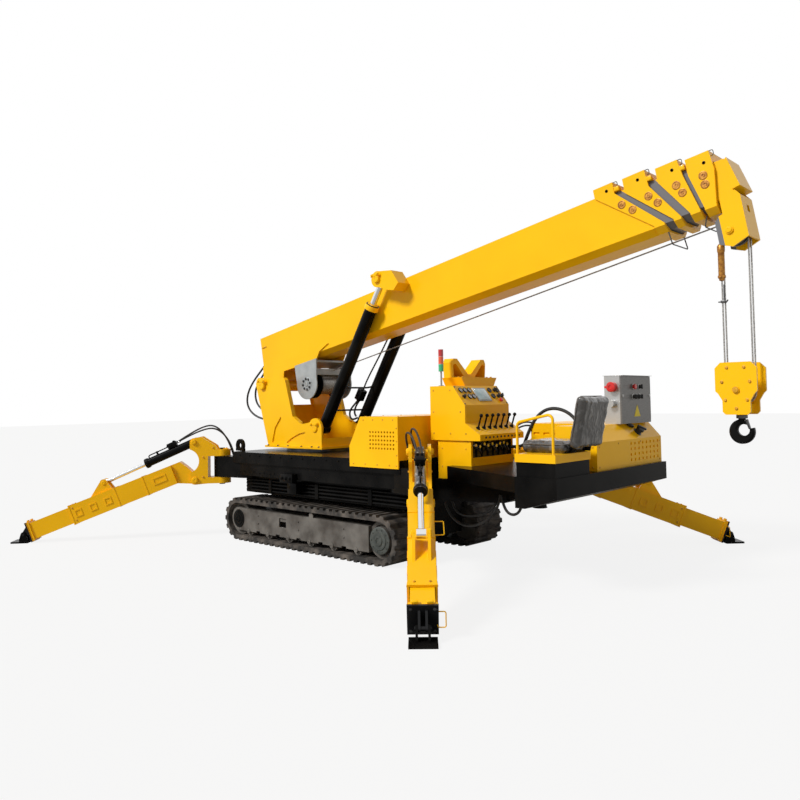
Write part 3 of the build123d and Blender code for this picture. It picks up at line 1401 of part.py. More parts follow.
def hook_shape():
    """The forged hook: thickest under its bowl, with an open throat, a rounded point and its shank."""
    x, z = block_axle()
    bottom = z + BLOCK_SHEAVE_HEIGHT - BLOCK_HEIGHT
    centre = (x, bottom - HOOK_DROP)
    bowl = hook_bowl_place()
    radius = HOOK_OUTER_RADIUS
    edge_x, over = x + HOOK_SHANK_RADIUS + 2, centre[1] + radius + 5
    throat = [
        bowl, (bowl[0] + radius, bowl[1] + 22), (centre[0] + radius + 5, over), (edge_x, over),
        (edge_x, centre[1] + 40),
    ]
    face = Pos(*centre) * Circle(radius)
    face -= Pos(*bowl) * Circle(HOOK_BOWL_RADIUS)
    face -= outline(throat)
    half = HOOK_THICKNESS / 2
    body = upright(face, -half, half)
    rims = [edge for edge in body.edges() if abs(abs(edge.center().Y) - half) < 0.01]
    body = chamfer(rims, HOOK_EDGE)
    shank_top = bottom + CROSSHEAD_RISE - SEAT_GAP
    shank_low = bottom - 60
    body += Pos(x, 0, (shank_top + shank_low) / 2) * Cylinder(
        HOOK_SHANK_RADIUS - 4, shank_top - shank_low
    )
    return body


def rope_falls():
    """The four falls of rope between the head sheaves and the hook block's sheaves."""
    pin_x, pin_z = head_pin_place()
    x, z = block_axle()
    ropes = []
    for side in (-1, 1):
        for y in (-HEAD_SHEAVE_PITCH / 2, HEAD_SHEAVE_PITCH / 2):
            start = (x + side * (BLOCK_SHEAVE_RADIUS + 1), y, z)
            end = (pin_x + side * (HEAD_SHEAVE_RADIUS + 1), y, pin_z)
            ropes.append(round_bar(start, end, ROPE_RADIUS))
    return ropes


# Covers, console and seat


def engine_cover():
    """The engine cover: chamfered at the mast's end, hollow, with rows of square holes."""
    profile = outline(
        [
            (COVER_REAR_X, COVER_LOW_Z),
            (COVER_REAR_X, COVER_TOP_Z - COVER_CHAMFER_Z),
            (COVER_REAR_X + COVER_CHAMFER_X, COVER_TOP_Z),
            (COVER_FRONT_X, COVER_TOP_Z),
            (COVER_FRONT_X, COVER_LOW_Z),
        ]
    )
    wall = COVER_WALL
    hollow = outline(
        [
            (COVER_REAR_X + wall, COVER_LOW_Z - 1),
            (COVER_REAR_X + wall, COVER_TOP_Z - COVER_CHAMFER_Z - wall / 2),
            (COVER_REAR_X + COVER_CHAMFER_X + wall / 2, COVER_TOP_Z - wall),
            (COVER_FRONT_X - wall, COVER_TOP_Z - wall),
            (COVER_FRONT_X - wall, COVER_LOW_Z - 1),
        ]
    )
    body = upright(profile, -COVER_HALF_WIDTH, COVER_HALF_WIDTH)
    body -= upright(hollow, -COVER_HALF_WIDTH + wall, COVER_HALF_WIDTH - wall)
    edge = DECK_HALF_WIDTH + SEAT_GAP
    body -= box((COVER_REAR_X - 1, COVER_FRONT_X + 1), (-edge, edge), (0, DECK_TOP_Z + SEAT_GAP))
    return body - perforations()


def perforations():
    """The rows of square holes in both long sides of the engine cover, as bars through the walls."""
    bars = []
    for column in range(COVER_HOLES_LONG):
        x = COVER_HOLES_X + column * COVER_HOLE_PITCH
        for row in range(COVER_HOLES_HIGH):
            z = COVER_HOLES_Z + row * COVER_HOLE_PITCH
            bars.append(
                Pos(x, 0, z) * Box(COVER_HOLE, 2 * COVER_HALF_WIDTH + 20, COVER_HOLE)
            )
    keep = COVER_HALF_WIDTH - 2 * COVER_WALL
    return [bar - box((COVER_REAR_X, COVER_FRONT_X), (-keep, keep), (0, COVER_TOP_Z)) for bar in bars]


def engine_block():
    """The engine under its cover, as one block on the deck."""
    x_low, x_high, y_low, y_high, top = ENGINE
    return box((x_low, x_high), (y_low, y_high), (DECK_TOP_Z, top))


def console():
    """The console: a lower cabinet, an upper housing with a slanted panel, and a lever ledge."""
    lower = box(CONSOLE_LOW, CONSOLE_LOW_Y, (CONSOLE_LOW_Z, CONSOLE_WAIST_Z))
    profile = outline(
        [
            (CONSOLE_REAR_X, CONSOLE_WAIST_Z - 1),
            (CONSOLE_LEDGE_X, CONSOLE_WAIST_Z - 1),
            (CONSOLE_LEDGE_X, CONSOLE_LEDGE_Z),
            (CONSOLE_FACE_X, CONSOLE_FACE_LOW_Z),
            (CONSOLE_FACE_X, CONSOLE_FACE_TOP_Z),
            (CONSOLE_TOP_X, CONSOLE_TOP_Z),
            (CONSOLE_REAR_X, CONSOLE_TOP_Z),
        ]
    )
    upper = upright(profile, *CONSOLE_Y)
    pocket = box(
        (CONSOLE_LOW[1] - POCKET_DEPTH, CONSOLE_LOW[1] + 1),
        (CONSOLE_LOW_Y[0] + POCKET_MARGIN, CONSOLE_LOW_Y[1] - POCKET_MARGIN),
        (POCKET_LOW_Z, CONSOLE_WAIST_Z - 1),
    )
    body = lower + upper - pocket
    pitch = (CONSOLE_LOW_Y[1] - CONSOLE_LOW_Y[0] - 2 * POCKET_MARGIN) / LEVER_COUNT
    for index in range(LEVER_COUNT):
        y = CONSOLE_LOW_Y[0] + POCKET_MARGIN + (index + 0.5) * pitch
        body += box(
            (CONSOLE_LOW[1] - POCKET_DEPTH - 1, CONSOLE_LOW[1] - 30), (y - 0.32 * pitch, y + 0.32 * pitch),
            (POCKET_LOW_Z - 1, CONSOLE_WAIST_Z + 1),
        )
    for x, y, z in lever_places():
        body -= Pos(x, y, z + 80) * Cylinder(LEVER_BOOT_RADIUS + SEAT_GAP, 160 + 2 * LEVER_BOOT_DEPTH)
    return body


def lever_places():
    """Where each lever's boot stands in the ledge."""
    low, high = CONSOLE_Y[0] + 80, CONSOLE_Y[1] - 80
    x = (CONSOLE_FACE_X + CONSOLE_LEDGE_X) / 2
    z = (CONSOLE_LEDGE_Z + CONSOLE_FACE_LOW_Z) / 2
    for index in range(LEVER_COUNT):
        yield x, low + (high - low) * index / (LEVER_COUNT - 1), z


def console_levers():
    """The row of hydraulic levers on the console's ledge."""
    levers = []
    for x, y, z in lever_places():
        top = (x + 40, y, z + LEVER_LENGTH)
        stem = round_bar((x, y, z), top, LEVER_RADIUS)
        knob = Pos(*top) * Sphere(LEVER_RADIUS * 2.1)
        boot = Pos(x, y, z) * Cylinder(LEVER_BOOT_RADIUS, 2 * LEVER_BOOT_DEPTH)
        levers.append(stem + knob + boot)
    return levers


def boom_rest():
    """The rest that the stowed boom lies in: a flared tray and two hollow prongs that form a V."""
    half = REST_HALF_WIDTH
    low = CONSOLE_TOP_Z + REST_TRAY_HEIGHT
    prong = outline(
        [
            (REST_VALLEY, low - 1), (half - 10, low - 1), (half, REST_TIP_Z - 40), (half - 22, REST_TIP_Z),
            (half - 22 - REST_TIP_WIDTH, REST_TIP_Z), (REST_VALLEY, REST_VALLEY_Z),
        ]
    )
    room = outline(
        [
            (REST_VALLEY + 62, low + REST_WALL), (half - 10 - REST_WALL, low + REST_WALL),
            (half - REST_WALL, REST_TIP_Z - 62), (half - 52, REST_TIP_Z - 46),
        ]
    )
    x_low, x_high = REST_X - REST_THICKNESS / 2, REST_X + REST_THICKNESS / 2
    middle = crosswise(outline([(-REST_VALLEY - 1, low - 1), (REST_VALLEY + 1, low - 1),
                                (REST_VALLEY + 1, REST_VALLEY_Z), (-REST_VALLEY - 1, REST_VALLEY_Z)]),
                       x_low, x_high)
    near = crosswise(prong, x_low, x_high) - crosswise(room, x_low + REST_WALL, x_high + 1)
    flare = outline(
        [
            (-half + 30, CONSOLE_TOP_Z), (half - 30, CONSOLE_TOP_Z), (half + 20, low), (-half - 20, low),
        ]
    )
    return middle + near + mirror(near, about=Plane.XZ) + crosswise(flare, *REST_TRAY_X)


def signal_lamp():
    """The stack of three signal lamps on its post."""
    x, y = LAMP_PLACE
    post = Pos(x, y, CONSOLE_TOP_Z + 70) * Cylinder(9, 140)
    foot = Pos(x, y, CONSOLE_TOP_Z + 4) * Cylinder(26, 8)
    top = CONSOLE_TOP_Z + 60 + LAMP_LENGTH
    stack = Pos(x, y, (CONSOLE_TOP_Z + 140 + top) / 2) * Cylinder(
        LAMP_RADIUS, top - CONSOLE_TOP_Z - 140
    )
    return post + foot + stack


def seat_stand():
    """The black box on the platform that carries the seat's tray."""
    x, y = TRAY_MIDDLE
    return box(
        (x - SEAT_STAND_LENGTH / 2, x + SEAT_STAND_LENGTH / 2),
        (y - SEAT_STAND_WIDTH / 2, y + SEAT_STAND_WIDTH / 2),
        (PLATFORM_TOP_Z, SEAT_STAND_Z),
    )


def seat_tray():
    """The yellow tray under the seat."""
    x, y = TRAY_MIDDLE
    length, width = SEAT_TRAY
    return box(
        (x - length / 2, x + length / 2), (y - width / 2, y + width / 2), (SEAT_STAND_Z, SEAT_TRAY_Z)
    )


def seat_rail():
    """The bent tube rail along the seat's near side, higher at its rear post."""
    x, y = TRAY_MIDDLE
    rail_y = y - SEAT_TRAY[1] / 2 + RAIL_RADIUS + 4
    low_x, high_x = x - SEAT_TRAY[0] / 2 + 20, x + SEAT_TRAY[0] / 2 - 24
    return bent_tube(
        [
            (low_x, rail_y, SEAT_TRAY_Z - 10), (low_x, rail_y, RAIL_TOP_Z[0]),
            (high_x, rail_y, RAIL_TOP_Z[1]), (high_x, rail_y, SEAT_TRAY_Z - 10),
        ],
        RAIL_BEND,
        RAIL_RADIUS,
    )


def seat_cushion():
    """The seat's cushion, on the tray, with rounded corners."""
    x, y = SEAT_MIDDLE
    length, width, thickness = SEAT_CUSHION
    block = box(
        (x - length / 2, x + length / 2), (y - width / 2, y + width / 2),
        (SEAT_TRAY_Z + SEAT_GAP, SEAT_TRAY_Z + thickness),
    )
    block = fillet(block.edges().filter_by(Axis.Z), SEAT_CORNER)
    return chamfer(block.faces().sort_by(Axis.Z)[-1].edges(), SEAT_CORNER / 3)


def seat_back():
    """The seat's back, leaning away from the driver, with rounded upper corners."""
    x, y = SEAT_MIDDLE
    width = SEAT_CUSHION[1]
    lean = radians(SEAT_BACK_LEAN_DEG)
    face = RectangleRounded(SEAT_BACK_HEIGHT, width, SEAT_CORNER)
    back = extrude(face, amount=SEAT_BACK_THICKNESS)
    start_x = x + SEAT_CUSHION[0] / 2 + SEAT_GAP + SEAT_BACK_HEIGHT / 2 * sin(lean)
    middle_z = SEAT_TRAY_Z + SEAT_BACK_RISE + SEAT_BACK_HEIGHT / 2 * cos(lean)
    frame = Plane(
        origin=(start_x, y, middle_z), x_dir=(sin(lean), 0, cos(lean)), z_dir=(cos(lean), 0, -sin(lean))
    )
    return frame * back


def end_cover():
    """The yellow cover at the end: a low nose with a slanted facet, then a long flank."""
    nose = outline(
        [
            (END_COVER_REAR_X + END_COVER_FLANK, PLATFORM_TOP_Z),
            (END_COVER_X, PLATFORM_TOP_Z),
            (END_COVER_X, END_COVER_FOLD_Z),
            (END_COVER_TOP_X, END_COVER_TOP_Z),
            (END_COVER_REAR_X + END_COVER_FLANK, END_COVER_TOP_Z),
        ]
    )
    body = upright(nose, *END_COVER_Y)
    flank = box(
        (END_COVER_REAR_X, END_COVER_REAR_X + END_COVER_FLANK + 1), (END_COVER_STEP_Y, END_COVER_Y[1]),
        (PLATFORM_TOP_Z, END_COVER_TOP_Z),
    )
    body += flank
    for column in range(END_HOLES_LONG):
        y = END_HOLES_Y + column * END_HOLE_PITCH
        for row in range(END_HOLES_HIGH):
            z = END_HOLES_Z + row * END_HOLE_PITCH * 0.62
            body -= Pos(END_COVER_X, y, z) * Box(2 * END_HOLE_DEPTH, END_HOLE, END_HOLE)
    for index in range(END_SLOTS):
        x = END_SLOTS_X + index * END_SLOT_PITCH
        body -= Pos(x, END_COVER_STEP_Y, END_SLOTS_Z) * Box(END_SLOT, 2 * END_HOLE_DEPTH, END_SLOT / 3)
    return body


def cabinet():
    """The stainless electric cabinet, open towards the end where its door closes it."""
    body = box(CABINET_X, CABINET_Y, (END_COVER_TOP_Z, CABINET_Z))
    room = box(
        (CABINET_X[0] + 6, CABINET_X[1] + 1), (CABINET_Y[0] + 6, CABINET_Y[1] - 6),
        (END_COVER_TOP_Z + 6, CABINET_Z - 6),
    )
    socket = disc(
        CABINET_X[0] + 80, END_COVER_TOP_Z + 180, 34, CABINET_Y[0] - 55, CABINET_Y[0] + 1
    )
    return body - room + socket


def cabinet_door():
    """The cabinet's door with its hinge barrel and turning knobs."""
    x = CABINET_X[1] + SEAT_GAP
    door = box((x, x + CABINET_DOOR), CABINET_Y, (END_COVER_TOP_Z + 2, CABINET_Z - 2))
    for y, z in ((-60, 330), (60, 330), (-60, 240), (60, 240)):
        knob_y = (CABINET_Y[0] + CABINET_Y[1]) / 2 + y
        door += round_bar(
            (x + CABINET_DOOR, knob_y, END_COVER_TOP_Z + z),
            (x + CABINET_DOOR + 20, knob_y, END_COVER_TOP_Z + z),
            16,
        )
    hinge_x, hinge_y = hinge_place()
    barrel_length = CABINET_Z - END_COVER_TOP_Z - 60
    door += Pos(hinge_x, hinge_y, (CABINET_Z + END_COVER_TOP_Z) / 2) * Cylinder(
        HINGE_RADIUS, barrel_length
    )
    return door


def hinge_place():
    """The door's hinge line, at its far edge."""
    return CABINET_X[1] + SEAT_GAP + CABINET_DOOR / 2, CABINET_Y[1] + 1


# Names of the pieces


def build_nodes():
    """Every named piece of the crane, with its solids."""
    near, far = -1, 1
    nodes = {
        "chassis_frame": [chassis_frame()],
        "deck": [deck()],
        "lifting_rings": [lifting_ring(near), lifting_ring(far)],
        "side_pipes": [side_pipes(near), side_pipes(far)],
        "tracks": [ride_on_side(track_belt(), side) for side in (near, far)],
        "track_frames": [ride_on_side(track_frame(), side) for side in (near, far)],
        "operator_platform": [operator_platform() + seat_stand()],
        "engine_cover": [engine_cover()],
        "engine_block": [engine_block()],
        "console": [console()],
        "console_levers": console_levers(),
        "boom_rest": [boom_rest()],
        "signal_lamp": [signal_lamp()],
        "seat_tray": [seat_tray() + seat_rail()],
        "seat": [seat_cushion(), seat_back()],
        "end_cover": [end_cover()],
        "cabinet": [cabinet()],
        "cabinet_door": [cabinet_door()],
        "slew_ring": [slew_ring()],
        "mast": [mast()],
        "boom_base": [boom_base()],
        "boom_lugs": [luff_lug(near), luff_lug(far)],
        "boom_2": [boom_frame() * boom_section(1)],
        "boom_3": [boom_frame() * boom_section(2)],
        "boom_4": [boom_frame() * boom_section(3)],
        "boom_5": [boom_tip()],
        "head_sheaves": [head_sheaves()],
        "winch_frame": [winch_frame()],
        "winch_drum": [winch_drum()],
        "hook_block": [hook_block()],
        "hook": [hook_shape()],
        "rope_falls": rope_falls(),
        "luff_barrels": [luff_barrel(near), luff_barrel(far)],
        "luff_rods": [luff_rod(near), luff_rod(far)],
    }
    for row in OUTRIGGERS:
        name = row[0]
        nodes[f"yoke_{name}"] = [yoke(row)]
        nodes[f"arm_{name}"] = [outrigger_arm(row)]
        nodes[f"inner_arm_{name}"] = [inner_arm(row), foot_bracket(row)]
        nodes[f"foot_{name}"] = [foot(row)]
        nodes[f"leg_barrel_{name}"] = [leg_barrel(row)]
        nodes[f"leg_rod_{name}"] = [leg_rod(row)]
    return nodes


def origin_x():
    """The middle of the machine's length: halfway from the rear feet to the boom's head."""
    _, x, _, side_x, _, splay, reach = OUTRIGGERS[0]
    rear = x + side_x * (reach + FOOT_AHEAD) * cos(radians(splay)) - 60
    tilt = radians(BOOM_REST_DEG)
    head = BOOM_PIVOT_X + (TIP_U + 64) * cos(tilt) - 330 * sin(tilt)
    return (rear + head) / 2


def main():
    os.makedirs("parts", exist_ok=True)
    shift = Pos(-origin_x(), 0, 0)
    for name, pieces in build_nodes().items():
        solids = [solid for piece in pieces for solid in piece.solids()]
        placed = Compound(children=[shift * solid for solid in solids])
        export_step(placed, f"parts/{name}.step")


if __name__ == "__main__":
    main()
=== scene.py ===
# %% [markdown]
# A small crawler crane that stands on four folding legs, dressed over its CAD model.
# The CAD nodes give every size and place, so this notebook only adds finishes and small pieces.
# Each cell says what the real thing is, how it could be made, and why this way was taken.

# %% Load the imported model
import math

import bpy
from mathutils import Matrix, Vector, noise


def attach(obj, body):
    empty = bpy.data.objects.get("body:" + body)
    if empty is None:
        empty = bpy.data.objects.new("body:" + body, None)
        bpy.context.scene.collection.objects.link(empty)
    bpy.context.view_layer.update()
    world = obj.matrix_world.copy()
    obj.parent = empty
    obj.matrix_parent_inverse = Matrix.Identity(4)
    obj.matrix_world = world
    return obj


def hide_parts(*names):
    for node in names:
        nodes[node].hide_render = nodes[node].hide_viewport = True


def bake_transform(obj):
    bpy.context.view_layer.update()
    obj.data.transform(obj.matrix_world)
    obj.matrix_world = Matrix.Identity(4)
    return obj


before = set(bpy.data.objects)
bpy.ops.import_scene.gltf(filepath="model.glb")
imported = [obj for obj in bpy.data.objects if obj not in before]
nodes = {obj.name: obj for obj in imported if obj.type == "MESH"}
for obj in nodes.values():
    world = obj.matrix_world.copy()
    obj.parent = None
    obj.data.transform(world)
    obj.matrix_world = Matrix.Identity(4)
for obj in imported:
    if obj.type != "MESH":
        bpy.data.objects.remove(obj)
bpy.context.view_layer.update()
bpy.ops.object.select_all(action="DESELECT")
print("nodes loaded:", len(nodes))

# %% [markdown]
# The camera stands at eye height near the driver's end, off the near side.
# Its place, turn and lens were worked out from the photograph, so they are set as numbers.

# %% Camera
EYE = (5.589, -5.870, 1.550)
TURN_DEG, RISE_DEG, ROLL_DEG = 43.0, 2.35, -1.0
LENS_MM, FILM_MM = 33.84, 36
FRAME_SHIFT = -0.0375
FARTHEST = 200


def aim(turn_deg, rise_deg, roll_deg):
    """The camera's rotation from its heading, its rise and its roll."""
    turn, rise, roll = (math.radians(value) for value in (turn_deg, rise_deg, roll_deg))
    ahead = Vector(
        (-math.sin(turn) * math.cos(rise), math.cos(turn) * math.cos(rise), math.sin(rise))
    )
    right = Vector((math.cos(turn), math.sin(turn), 0))
    up = right.cross(ahead)
    side = right * math.cos(roll) + up * math.sin(roll)
    crown = up * math.cos(roll) - right * math.sin(roll)
    return Matrix((side, crown, -ahead)).transposed().to_4x4()


bpy.ops.object.camera_add()
camera = bpy.context.object
camera.name = "camera"
camera.matrix_world = Matrix.Translation(EYE) @ aim(TURN_DEG, RISE_DEG, ROLL_DEG)
camera.data.lens = LENS_MM
camera.data.sensor_width = FILM_MM
camera.data.shift_y = FRAME_SHIFT
camera.data.clip_end = FARTHEST
bpy.context.scene.camera = camera
print("camera at", tuple(round(value, 3) for value in camera.location))

# %% [markdown]
# The machine stands on plain white. A backdrop could be a bent sheet with more lamps on it, but that
# would light the machine from below too. So a wide pale floor takes the soft shadow, and it adds
# a glow of its own only where the camera looks at it.

# %% Floor
FLOOR_SIZE = 120
FLOOR_GLOW = 0.86
bpy.ops.mesh.primitive_plane_add(size=FLOOR_SIZE, location=(0, 0, 0))
floor = bpy.context.object
floor.name = "studio_floor"
floor_paint = bpy.data.materials.new("floor_paint")
floor_paint.use_nodes = True
tree = floor_paint.node_tree
shader = tree.nodes["Principled BSDF"]
shader.inputs["Base Color"].default_value = (0.50, 0.49, 0.47, 1)
shader.inputs["Roughness"].default_value = 0.9
shader.inputs["Specular IOR Level"].default_value = 0.1
glow = tree.nodes.new("ShaderNodeEmission")
glow.inputs["Strength"].default_value = 1.0
floor_path = tree.nodes.new("ShaderNodeLightPath")
share = tree.nodes.new("ShaderNodeMath")
share.operation = "MULTIPLY"
share.inputs[1].default_value = FLOOR_GLOW
tree.links.new(floor_path.outputs["Is Camera Ray"], share.inputs[0])
blend_floor = tree.nodes.new("ShaderNodeMixShader")
tree.links.new(share.outputs[0], blend_floor.inputs["Fac"])
tree.links.new(shader.outputs["BSDF"], blend_floor.inputs[1])
tree.links.new(glow.outputs["Emission"], blend_floor.inputs[2])
tree.links.new(blend_floor.outputs["Shader"], tree.nodes["Material Output"].inputs["Surface"])
floor.data.materials.append(floor_paint)
print("floor is", FLOOR_SIZE, "m wide")

# %% [markdown]
# The world is white where the camera, a mirror or a glass sees it, and it lights the object
# more weakly than that, so that the shaded sides stay darker. One wide sun from the camera's right
# is the studio's key lamp, because its edge of shadow stays soft at any distance.

# %% World and key lamp
WORLD_LIGHT = 0.34
SUN_ENERGY, SUN_WIDTH_DEG = 3.1, 14
SUN_RAYS = Vector((0.26, 0.72, -0.62))
world = bpy.data.worlds.new("studio")
bpy.context.scene.world = world
world.use_nodes = True
tree = world.node_tree
background = tree.nodes["Background"]
background.inputs["Color"].default_value = (1, 1, 1, 1)
path = tree.nodes.new("ShaderNodeLightPath")
seen = tree.nodes.new("ShaderNodeMath")
seen.operation = "MAXIMUM"
tree.links.new(path.outputs["Is Camera Ray"], seen.inputs[0])
tree.links.new(path.outputs["Is Glossy Ray"], seen.inputs[1])
through = tree.nodes.new("ShaderNodeMath")
through.operation = "MAXIMUM"
tree.links.new(seen.outputs[0], through.inputs[0])
tree.links.new(path.outputs["Is Transmission Ray"], through.inputs[1])
level = tree.nodes.new("ShaderNodeMapRange")
level.inputs["To Min"].default_value = WORLD_LIGHT
level.inputs["To Max"].default_value = 1.0
tree.links.new(through.outputs[0], level.inputs["Value"])
tree.links.new(level.outputs["Result"], background.inputs["Strength"])

bpy.ops.object.light_add(type="SUN")
sun = bpy.context.object
sun.name = "key_lamp"
sun.data.energy = SUN_ENERGY
sun.data.angle = math.radians(SUN_WIDTH_DEG)
sun.rotation_euler = SUN_RAYS.to_track_quat("-Z", "Y").to_euler()

scene = bpy.context.scene
scene.view_settings.view_transform = "Standard"
print("lamp energy", sun.data.energy)

# %% [markdown]
# Paint on a machine is one colour with a faint orange-peel surface and a little dirt.
# One helper starts a finish on a Principled shader, and two more give it mottling and grain.
# Both patterns read Object coordinates, so they stay on the piece when it moves.


# %% Helpers for finishes
def start_finish(name, colour, roughness, metallic=0.0, coat=0.0, specular=0.35):
    """A material with one Principled shader, with its plain values set on its own sockets."""
    material = bpy.data.materials.new(name)
    material.use_nodes = True
    shader = material.node_tree.nodes["Principled BSDF"]
    shader.inputs["Base Color"].default_value = (*colour, 1)
    shader.inputs["Roughness"].default_value = roughness
    shader.inputs["Metallic"].default_value = metallic
    shader.inputs["Coat Weight"].default_value = coat
    shader.inputs["Specular IOR Level"].default_value = specular
    return material


def add_noise(material, scale, detail=4.0, stretch=(1, 1, 1)):
    """A noise pattern in the piece's own coordinates."""
    tree = material.node_tree
    place = tree.nodes.new("ShaderNodeTexCoord")
    mapping = tree.nodes.new("ShaderNodeMapping")
    mapping.inputs["Scale"].default_value = stretch
    speckle = tree.nodes.new("ShaderNodeTexNoise")
    speckle.inputs["Scale"].default_value = scale
    speckle.inputs["Detail"].default_value = detail
    tree.links.new(place.outputs["Object"], mapping.inputs["Vector"])
    tree.links.new(mapping.outputs["Vector"], speckle.inputs["Vector"])
    return speckle


def mottle(material, dark, light, scale, low=0.35, high=0.7, stretch=(1, 1, 1)):
    """Drives the base colour between two tones of the same paint."""
    tree = material.node_tree
    speckle = add_noise(material, scale, 5.0, stretch)
    ramp = tree.nodes.new("ShaderNodeValToRGB")
    ramp.color_ramp.elements[0].position = low
    ramp.color_ramp.elements[0].color = (*dark, 1)
    ramp.color_ramp.elements[1].position = high
    ramp.color_ramp.elements[1].color = (*light, 1)
    tree.links.new(speckle.outputs["Fac"], ramp.inputs["Fac"])
    tree.links.new(ramp.outputs["Color"], tree.nodes["Principled BSDF"].inputs["Base Color"])
    return ramp


def grain(material, scale, strength, distance=0.001, stretch=(1, 1, 1)):
    """A fine bump, such as orange peel on paint or the skin of rubber."""
    tree = material.node_tree
    speckle = add_noise(material, scale, 3.0, stretch)
    bump = tree.nodes.new("ShaderNodeBump")
    bump.inputs["Strength"].default_value = strength
    bump.inputs["Distance"].default_value = distance
    tree.links.new(speckle.outputs["Fac"], bump.inputs["Height"])
    tree.links.new(bump.outputs["Normal"], tree.nodes["Principled BSDF"].inputs["Normal"])
    return bump


print("finish helpers ready")

# %% [markdown]
# Nearly everything is a warm traffic yellow with a clear gloss.
# A thin coat over a slightly mottled base gives the gloss without making it look like plastic.

# %% Yellow paint
YELLOW_DEEP = (0.90, 0.46, 0.003)
YELLOW_FULL = (0.98, 0.53, 0.004)
yellow_paint = start_finish("yellow_paint", YELLOW_FULL, 0.30, coat=0.08, specular=0.14)
mottle(yellow_paint, YELLOW_DEEP, YELLOW_FULL, 1.3, 0.25, 0.6)
grain(yellow_paint, 220, 0.12)
print("made", yellow_paint.name)

# %% [markdown]
# The lower frame, the deck and the platform are painted black, the winch grey, and the cabinet is
# brushed steel. Brushing is a mottle and a grain stretched the same way, which is cheaper than
# drawing each scratch and looks the same from a metre away.

# %% Black, grey and bare finishes
black_paint = start_finish("black_paint", (0.005, 0.005, 0.005), 0.26, coat=0.02, specular=0.06)
mottle(black_paint, (0.002, 0.002, 0.002), (0.008, 0.0075, 0.007), 5)
grain(black_paint, 180, 0.15)

frame_paint = start_finish("track_frame_paint", (0.09, 0.085, 0.08), 0.5)
mottle(frame_paint, (0.050, 0.042, 0.035), (0.150, 0.138, 0.122), 7, 0.3, 0.72)
grain(frame_paint, 60, 0.3)

grey_paint = start_finish("grey_paint", (0.36, 0.38, 0.38), 0.42, 0.2)
mottle(grey_paint, (0.30, 0.32, 0.32), (0.42, 0.44, 0.44), 8)
grain(grey_paint, 150, 0.15)

dark_steel = start_finish("dark_steel", (0.08, 0.08, 0.085), 0.38, 0.85)
mottle(dark_steel, (0.05, 0.05, 0.05), (0.13, 0.13, 0.13), 12)

door_steel = start_finish("door_steel", (0.16, 0.155, 0.15), 0.40, 0.55)
mottle(door_steel, (0.13, 0.125, 0.12), (0.20, 0.195, 0.185), 24, stretch=(1, 1, 14))
grain(door_steel, 320, 0.12, stretch=(1, 1, 0.06))

chrome = start_finish("chrome", (0.78, 0.79, 0.80), 0.10, 1.0)
grain(chrome, 400, 0.04)

stainless = start_finish("stainless", (0.46, 0.46, 0.45), 0.36, 0.75)
mottle(stainless, (0.42, 0.42, 0.41), (0.50, 0.50, 0.49), 30, stretch=(1, 1, 18))
grain(stainless, 320, 0.12, stretch=(1, 1, 0.06))

cast_iron = start_finish("cast_iron", (0.05, 0.05, 0.052), 0.6, 0.4)
grain(cast_iron, 90, 0.5, 0.002)
print("made the bare and painted finishes")

# %% [markdown]
# The tracks are one rubber belt each, greyed by dust on the lugs and darker between them.
# Wire rope is bright strands with grease between them. Twisting real strands would cost many faces
# for a rope this thin, so a fine mottle and a deep grain stand for them.

# %% Rubber and rope
rubber = start_finish("track_rubber", (0.03, 0.028, 0.026), 0.72)
mottle(rubber, (0.020, 0.018, 0.016), (0.125, 0.105, 0.088), 9, 0.38, 0.68)
grain(rubber, 70, 0.45, 0.002)

wire_rope = start_finish("wire_rope", (0.34, 0.33, 0.31), 0.38, 0.8)
mottle(wire_rope, (0.16, 0.155, 0.15), (0.56, 0.54, 0.50), 90)
grain(wire_rope, 160, 0.8, 0.002)

seat_cover = start_finish("seat_cover", (0.11, 0.105, 0.10), 0.55)
mottle(seat_cover, (0.08, 0.075, 0.07), (0.16, 0.15, 0.14), 25)
print("made", rubber.name, wire_rope.name, seat_cover.name)

# %% [markdown]
# Small steel parts are either plated bright, plated yellow, or bare bronze where they slide.
# Hoses are a dull black rubber with a cloth mark in it, so they get a finer grain than the tracks.

# %% Finishes of fasteners and hoses
zinc = start_finish("zinc", (0.50, 0.50, 0.49), 0.34, 0.85)
mottle(zinc, (0.36, 0.36, 0.35), (0.58, 0.58, 0.56), 60)

bolt_yellow = start_finish("bolt_yellow", (0.72, 0.34, 0.01), 0.40, coat=0.25)
mottle(bolt_yellow, (0.40, 0.19, 0.01), (0.78, 0.38, 0.01), 55, 0.3, 0.6)

plug_bronze = start_finish("plug_bronze", (0.46, 0.20, 0.03), 0.40, 0.55)
mottle(plug_bronze, (0.26, 0.10, 0.02), (0.60, 0.29, 0.05), 45)

hose_rubber = start_finish("hose_rubber", (0.012, 0.012, 0.012), 0.46)
mottle(hose_rubber, (0.008, 0.008, 0.008), (0.030, 0.028, 0.026), 30)
grain(hose_rubber, 300, 0.3)
print("made", zinc.name, bolt_yellow.name, plug_bronze.name, hose_rubber.name)

# %% [markdown]
# Each CAD node keeps its shape and takes the finish of the real piece.
# Most are yellow, so the table lists only the others. The signal lamp gets its own lenses further on.

